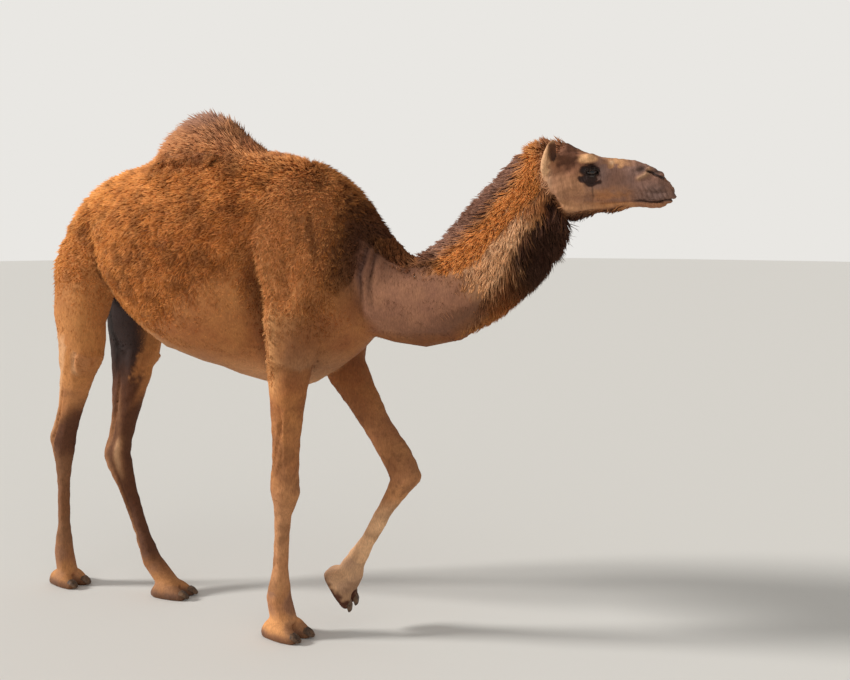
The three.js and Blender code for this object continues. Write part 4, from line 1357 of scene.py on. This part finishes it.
def comb(roots, settings, length, lift):
    # gathers tufts into clumps whose tips come together
    rng = roots["rng"]
    p, away, part = roots["place"], roots["away"], roots["part"]
    count = len(p)
    lie = lieOf(p, away, part)
    middles = rng.choice(count, max(count // settings["clump"], 1), replace=False)
    mine = nearestOf(p[middles], p)
    clumpTurn = rng.normal(0, 1, len(middles)) * math.radians(settings["wander"])
    clumpLong = rng.uniform(0.8, 1.15, len(middles))
    clumpTint = rng.uniform(0, 1, len(middles))
    clumpPick = rng.integers(0, 6, len(middles))
    m = middles[mine]
    middleWay = turned(lie[m], away[m], clumpTurn[mine])
    goal = p[m] + middleWay * (length[m] * clumpLong[mine])[:, None]
    goal += away[m] * (lift[m] * length[m])[:, None]
    goal += rng.normal(0, 1, (count, 3)) * (0.10 * length)[:, None]
    own = turned(lie, away, rng.normal(0, 1, count) * math.radians(settings["stray"]))
    free = p + own * length[:, None] + away * (lift * length)[:, None]
    pull = settings["pull"]
    aim = goal * pull + free * (1 - pull) - p
    rising = (aim * away).sum(1)
    roots["lie"] = flat(aim, away)
    run = np.linalg.norm(aim - rising[:, None] * away, axis=1)
    run = np.clip(run, 0.35 * length, 1.5 * length)
    long = rng.uniform(0.85, 1.15, count)
    run, rising = run * long, np.clip(rising, 0.25 * lift * length, 1.6 * lift * length + 0.004) * long
    # the tips end near the outline of the solids, a few of them just outside it
    fuzz = settings["fuzz"] * (0.5 + 0.8 * rise(away[:, 2], 0.1, 0.7))
    mask = coatMasks(p, part)
    fuzz += 0.014 * mask["jaw"] + 0.010 * mask["throat"]
    loose = rng.uniform(-0.003, 1, count) * fuzz
    depth = depthOf(p, part)
    room = -heightOver(outline, p)
    rising = np.maximum(rising, 0.8 * np.minimum(room, depth))
    tip = p + roots["lie"] * run[:, None] + away * rising[:, None]
    allowed = np.maximum(loose, 0.7 * depth - room)
    rising = np.maximum(rising - np.maximum(heightOver(outline, tip) - allowed, 0), 0.12 * run)
    wide = settings["width"] * rng.uniform(0.7, 1.3, count)
    roots["size"] = np.stack([run, wide, rising], 1)
    roots["pick"] = (clumpPick[mine] + rng.integers(0, 2, count)) % settings["kinds"]
    tint = 0.5 + settings["clumpTint"] * (clumpTint[mine] - 0.5) + rng.normal(0, 0.16, count)
    roots["tint"] = np.clip(tint, 0, 1)
    roots["place"] = p - away * rootDepth
    for name, values in marksAndPaintedLight(p, part).items():
        roots[name] = np.clip(values, 0, 1)


def growCoat(name, kind, roots, pieces):
    # split from tail to nose, so that no piece is too heavy
    order = np.argsort(roots["place"][:, 0])
    keys = ["place", "pick"] + rootVectors + rootShades
    for k, share in enumerate(np.array_split(order, pieces)):
        growPiece(f"{name}_{k + 1}", kind, {key: roots[key][share] for key in keys})
    print("camel:", name, len(order), "tufts,", len(order) * trianglesPerTuft[kind], "triangles")


woolCoat = {"count": 88000, "width": 0.0023, "clump": 9, "wander": 42, "stray": 40, "pull": 0.45,
            "clumpTint": 0.58, "kinds": 6, "fuzz": 0.012}


def makeWool():
    mask = skinMask
    density = mask["wool"] * (1 - mask["nape"]) * (1 - mask["throat"]) * (1 - mask["locks"])
    density = np.clip(density, 0, 1) ** 0.5 + mask["elbow"] + 0.8 * mask["fringe"] + 0.9 * mask["poll"]
    roots = scatter(woolCoat["count"], density, 51)
    p, part = roots["place"], roots["part"]
    mask = coatMasks(p, part)
    withers = part["trunk"] * rise(p[:, 2], 1.62, 1.74) * rise(p[:, 0], -0.10, 0.10)
    shaggy = np.clip(mask["elbow"] + mask["fringe"] + mask["poll"], 0, 1)
    length = 0.009 + 0.010 * mask["wool"] + 0.006 * mask["hump"] + 0.006 * withers
    length *= 1 - 0.40 * rise(p[:, 0], -0.68, -0.95)
    length = np.maximum(length, 0.028 * shaggy)
    lift = 0.45 + 0.32 * mask["wool"] + 0.3 * mask["hump"] + 0.2 * withers
    lift = np.maximum(lift, 0.55 * shaggy + 0.5 * mask["poll"])
    comb(roots, woolCoat, length, lift)
    growCoat("wool", "wool", roots, 5)


maneCoat = {"count": 16400, "width": 0.0036, "clump": 10, "wander": 12, "stray": 12, "pull": 0.5,
            "clumpTint": 0.5, "kinds": 6, "fuzz": 0.012}


def makeMane():
    mask = skinMask
    density = mask["nape"] + 1.3 * mask["throat"] + mask["locks"] + 0.4 * mask["fringe"] + 2.6 * mask["jaw"]
    density = density * (1 - 0.8 * mask["poll"]) + 0.6 * mask["tail"]
    roots = scatter(maneCoat["count"], density, 52)
    p, part = roots["place"], roots["part"]
    mask = coatMasks(p, part)
    along = neckPlace(p)[0]
    low = part["tail"] * rise(p[:, 2], 1.25, 1.08)
    long = mask["throat"] * (0.35 + 0.65 * rise(along, 0.50, 0.72))
    high = mask["nape"] * (0.25 + 0.75 * rise(along, 0.36, 0.52))
    length = 0.022 + 0.022 * high + 0.055 * long + 0.022 * mask["locks"] + 0.045 * low
    length *= 1 - 0.45 * mask["nape"] * rise(along, 0.42, 0.28)
    lift = 0.12 + 0.85 * high + 0.38 * long + 0.3 * mask["jaw"] + 0.1 * mask["fringe"]
    comb(roots, maneCoat, length, lift)
    growCoat("mane", "mane", roots, 2)


shortCoat = {"count": 44000, "width": 0.0019, "clump": 10, "wander": 10, "stray": 12, "pull": 0.2,
             "clumpTint": 0.3, "kinds": 4, "fuzz": 0.003}


def makeShort():
    mask = skinMask
    head = skinPart["head"]
    forward = headPlace(skinPlace)[0]
    muzzle = head * rise(forward, 0.10, 0.22)
    long = mask["wool"] + mask["nape"] + mask["throat"] + mask["locks"] + mask["fringe"] + mask["poll"]
    density = np.clip(1 - 0.8 * long, 0.0, 1) * (1 - 0.5 * muzzle) + 0.6 * skinPart["ear"]
    density *= 1 - skinPart["foot"] * rise(skinPlace[:, 2], 0.06, 0.03)
    density *= 1 - 0.9 * skinPart["tail"]
    eyes = np.minimum(*[np.linalg.norm(skinPlace - eyeSpots[s], axis=1) for s in (1, -1)])
    clear = rise(eyes, 0.027, 0.034)
    density *= clear
    density += 1.4 * head * rise(forward, 0.16, 0.06) * clear
    roots = scatter(shortCoat["count"], density, 53)
    part = roots["part"]
    length = 0.017 - 0.009 * np.clip(part["head"] + part["ear"] + part["foot"], 0, 1)
    comb(roots, shortCoat, length, np.full(len(length), 0.15))
    roots["size"][:, 1] *= 1 - 0.45 * part["head"]
    growCoat("short_hair", "short", roots, 2)


fuzzCoat = {"count": 20000, "width": 0.0021, "clump": 7, "wander": 20, "stray": 22, "pull": 0.35,
            "clumpTint": 0.4, "kinds": 4, "fuzz": 0.020}


def makeFuzz():
    # fine long hairs that stand out of the wool along the back, the hump, the withers and the nape
    mask = skinMask
    top = skinPart["trunk"] * rise(skinNormal[:, 2], 0.15, 0.65)
    density = top + mask["hump"] + 1.2 * mask["nape"] + 0.8 * mask["elbow"] + 0.8 * mask["poll"]
    density += 0.25 * mask["wool"] + 1.5 * mask["jaw"] - 0.5 * mask["poll"]
    roots = scatter(fuzzCoat["count"], density, 54)
    mask = coatMasks(roots["place"], roots["part"])
    tall = np.clip(mask["hump"] + mask["nape"], 0, 1)
    tall *= 1 - mask["neck"] * rise(neckPlace(roots["place"])[0], 0.46, 0.30)
    length = 0.014 + 0.008 * mask["wool"] + 0.023 * tall
    comb(roots, fuzzCoat, length, 0.75 + 0.20 * mask["wool"] + 0.35 * tall)
    growCoat("fuzz", "fuzz", roots, 1)


makeWool()
makeMane()
makeShort()
makeFuzz()


# ---------- eyes, lashes and toenails

def eyeLook(tree):
    ring = bandNode(tree, attributeNode(tree, "iris"), 0, 1, 0.50, 0.62)
    pupil = bandNode(tree, attributeNode(tree, "pupil"), 0, 1, 0.16, 0.20)
    fleck = bandNode(tree, noiseNode(tree, 500, 3), 0, 1, 0.35, 0.7)
    iris = mixColour(tree, fleck, tone("2a160c"), tone("4d2c17"))
    colour = mixColour(tree, pupil, tone("060505"), iris)
    colour = mixColour(tree, ring, colour, tone("2b1e18"))
    return {"Base Color": colour, "Roughness": 0.22, "Coat Weight": 0.35}


eyeMaterial = makeMaterial("darkEye", eyeLook)
cornea = {"bulge": 0.05, "from": 0.80, "full": 0.97}


def makeEye(sign):
    node = "eye_left" if sign > 0 else "eye_right"
    gaze, across, rising = eyeFrame(sign)
    bm = bmesh.new()
    bmesh.ops.create_uvsphere(bm, u_segments=48, v_segments=32, radius=eyeRadius)
    turn = Vector(gaze).to_track_quat("Z", "Y").to_matrix()
    for v in bm.verts:
        ahead = np.array(v.co.normalized().z)
        v.co *= 1 + cornea["bulge"] * float(rise(ahead, cornea["from"], cornea["full"]))
    bmesh.ops.rotate(bm, verts=bm.verts, matrix=turn, cent=(0, 0, 0))
    bmesh.ops.translate(bm, verts=bm.verts, vec=Vector(eyeSpots[sign]))
    mesh = meshOf(bm, "eyeball_" + node[4:])
    roundShade(mesh)
    d = unit(placesOf(mesh) - eyeSpots[sign])
    a, b, ahead = d @ across, d @ rising, d @ gaze
    putValues(mesh, "iris", np.where(ahead > 0, np.hypot(a, b), 2))
    putValues(mesh, "pupil", np.where(ahead > 0, np.hypot(a / 1.9, b), 2))
    mesh.materials.append(eyeMaterial)
    made = addObject(mesh.name, mesh)
    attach(made, "root")
    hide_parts(node)


for sign in (1, -1):
    makeEye(sign)


def nailLook(tree):
    grain = noiseNode(tree, 150, 3, 0.6, (1, 1, 2.5))
    mud = bandNode(tree, noiseNode(tree, 40, 3), 0, 1, 0.4, 0.7)
    colour = mixColour(tree, bandNode(tree, grain, 0, 1, 0.35, 0.65), tone("33261e"), tone("5c4838"))
    return {
        "Base Color": mixColour(tree, mud, colour, tone("7a5c43")),
        "Normal": bumpNode(tree, grain, 0.4, 0.001),
        "Roughness": 0.6,
        "Specular IOR Level": 0.25,
    }


nails = [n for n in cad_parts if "_nail_" in n]
nailBuild = {"voxel": 0.0016, "smoothRounds": 8}


def makeNails():
    # each nail is the hull of its solid, rounded off
    bm = bmesh.new()
    for node in nails:
        one = weldedSolid(node)
        hull = bmesh.ops.convex_hull(one, input=one.verts)
        spare = {e for e in hull["geom_interior"] + hull["geom_unused"] if isinstance(e, bmesh.types.BMVert)}
        bmesh.ops.delete(one, geom=list(spare), context="VERTS")
        addTo(bm, one, node)
    made = addObject("toenails", meshOf(bm, "toenails"))
    modify(made, "REMESH", mode="VOXEL", voxel_size=nailBuild["voxel"])
    modify(made, "SMOOTH", iterations=nailBuild["smoothRounds"])
    applyModifiers(made)
    roundShade(made.data)
    made.data.materials.append(makeMaterial("toenailHorn", nailLook))
    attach(made, "root")
    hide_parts(*nails)


makeNails()


def lashLook(tree):
    colour = mixColour(tree, attributeNode(tree, "tip"), tone("17100d"), tone("3a281d"))
    return {"Base Color": colour, "Roughness": 0.6}


lashRows = [
    # the lid's height, how many, length, how far they droop, how far up they point
    ("upper", 130, 0.030, 0.62, 0.30),
    ("upper", 90, 0.022, 0.30, 0.40),
    ("lower", 70, 0.013, 0.30, -0.45),
]
lashBuild = {"reach": 0.97, "outFromEye": 0.0035, "halfWidth": 0.0007, "thick": 0.0008}


def makeLashes():
    # long lashes in rows along the upper lid, and short ones below
    rng = np.random.default_rng(61)
    verts, faces, tip = [], [], []
    for sign in (1, -1):
        gaze, across, rising = eyeFrame(sign)
        for edge, count, long, droop, point in lashRows:
            row = 1 if edge == "upper" else -1
            for share in np.linspace(-lashBuild["reach"], lashBuild["reach"], count):
                a = lids["wide"] * share * 1.03
                b = lids["slant"] * a + row * lids[edge] * 1.08 * math.sqrt(1 - share * share)
                out = unit(a * across + b * rising + math.sqrt(max(1 - a * a - b * b, 0.02)) * gaze)
                base = eyeSpots[sign] + out * (eyeRadius + lashBuild["outFromEye"])
                way = unit(gaze + (0.8 * a - 0.25) * across + point * rising + rng.normal(0, 0.12, 3))
                length = long * rng.uniform(0.7, 1.1) * (1 - 0.35 * abs(share))
                side = unit(np.cross(way, rising)) * lashBuild["halfWidth"]
                first = len(verts)
                for t, w in ((0, 1), (0.5, 0.7)):
                    spot = base + way * length * t - np.array([0, 0, droop * length * t * t])
                    verts += [spot - side * w, spot + side * w, spot + rising * lashBuild["thick"] * w]
                    tip += [t] * 3
                verts.append(base + way * length - np.array([0, 0, droop * length]))
                tip.append(1)
                for i in range(3):
                    j = (i + 1) % 3
                    faces.append((first + i, first + j, first + 3 + j, first + 3 + i))
                    faces.append((first + 3 + i, first + 3 + j, first + 6))
                faces.append((first + 2, first + 1, first))
    mesh = meshFrom("lashes", verts, faces)
    putValues(mesh, "tip", tip)
    mesh.materials.append(makeMaterial("lashHair", lashLook))
    made = addObject("lashes", mesh)
    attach(made, "root")


makeLashes()

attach(skin, "root")
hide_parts(*fleshNodes)

print("camel: finished")
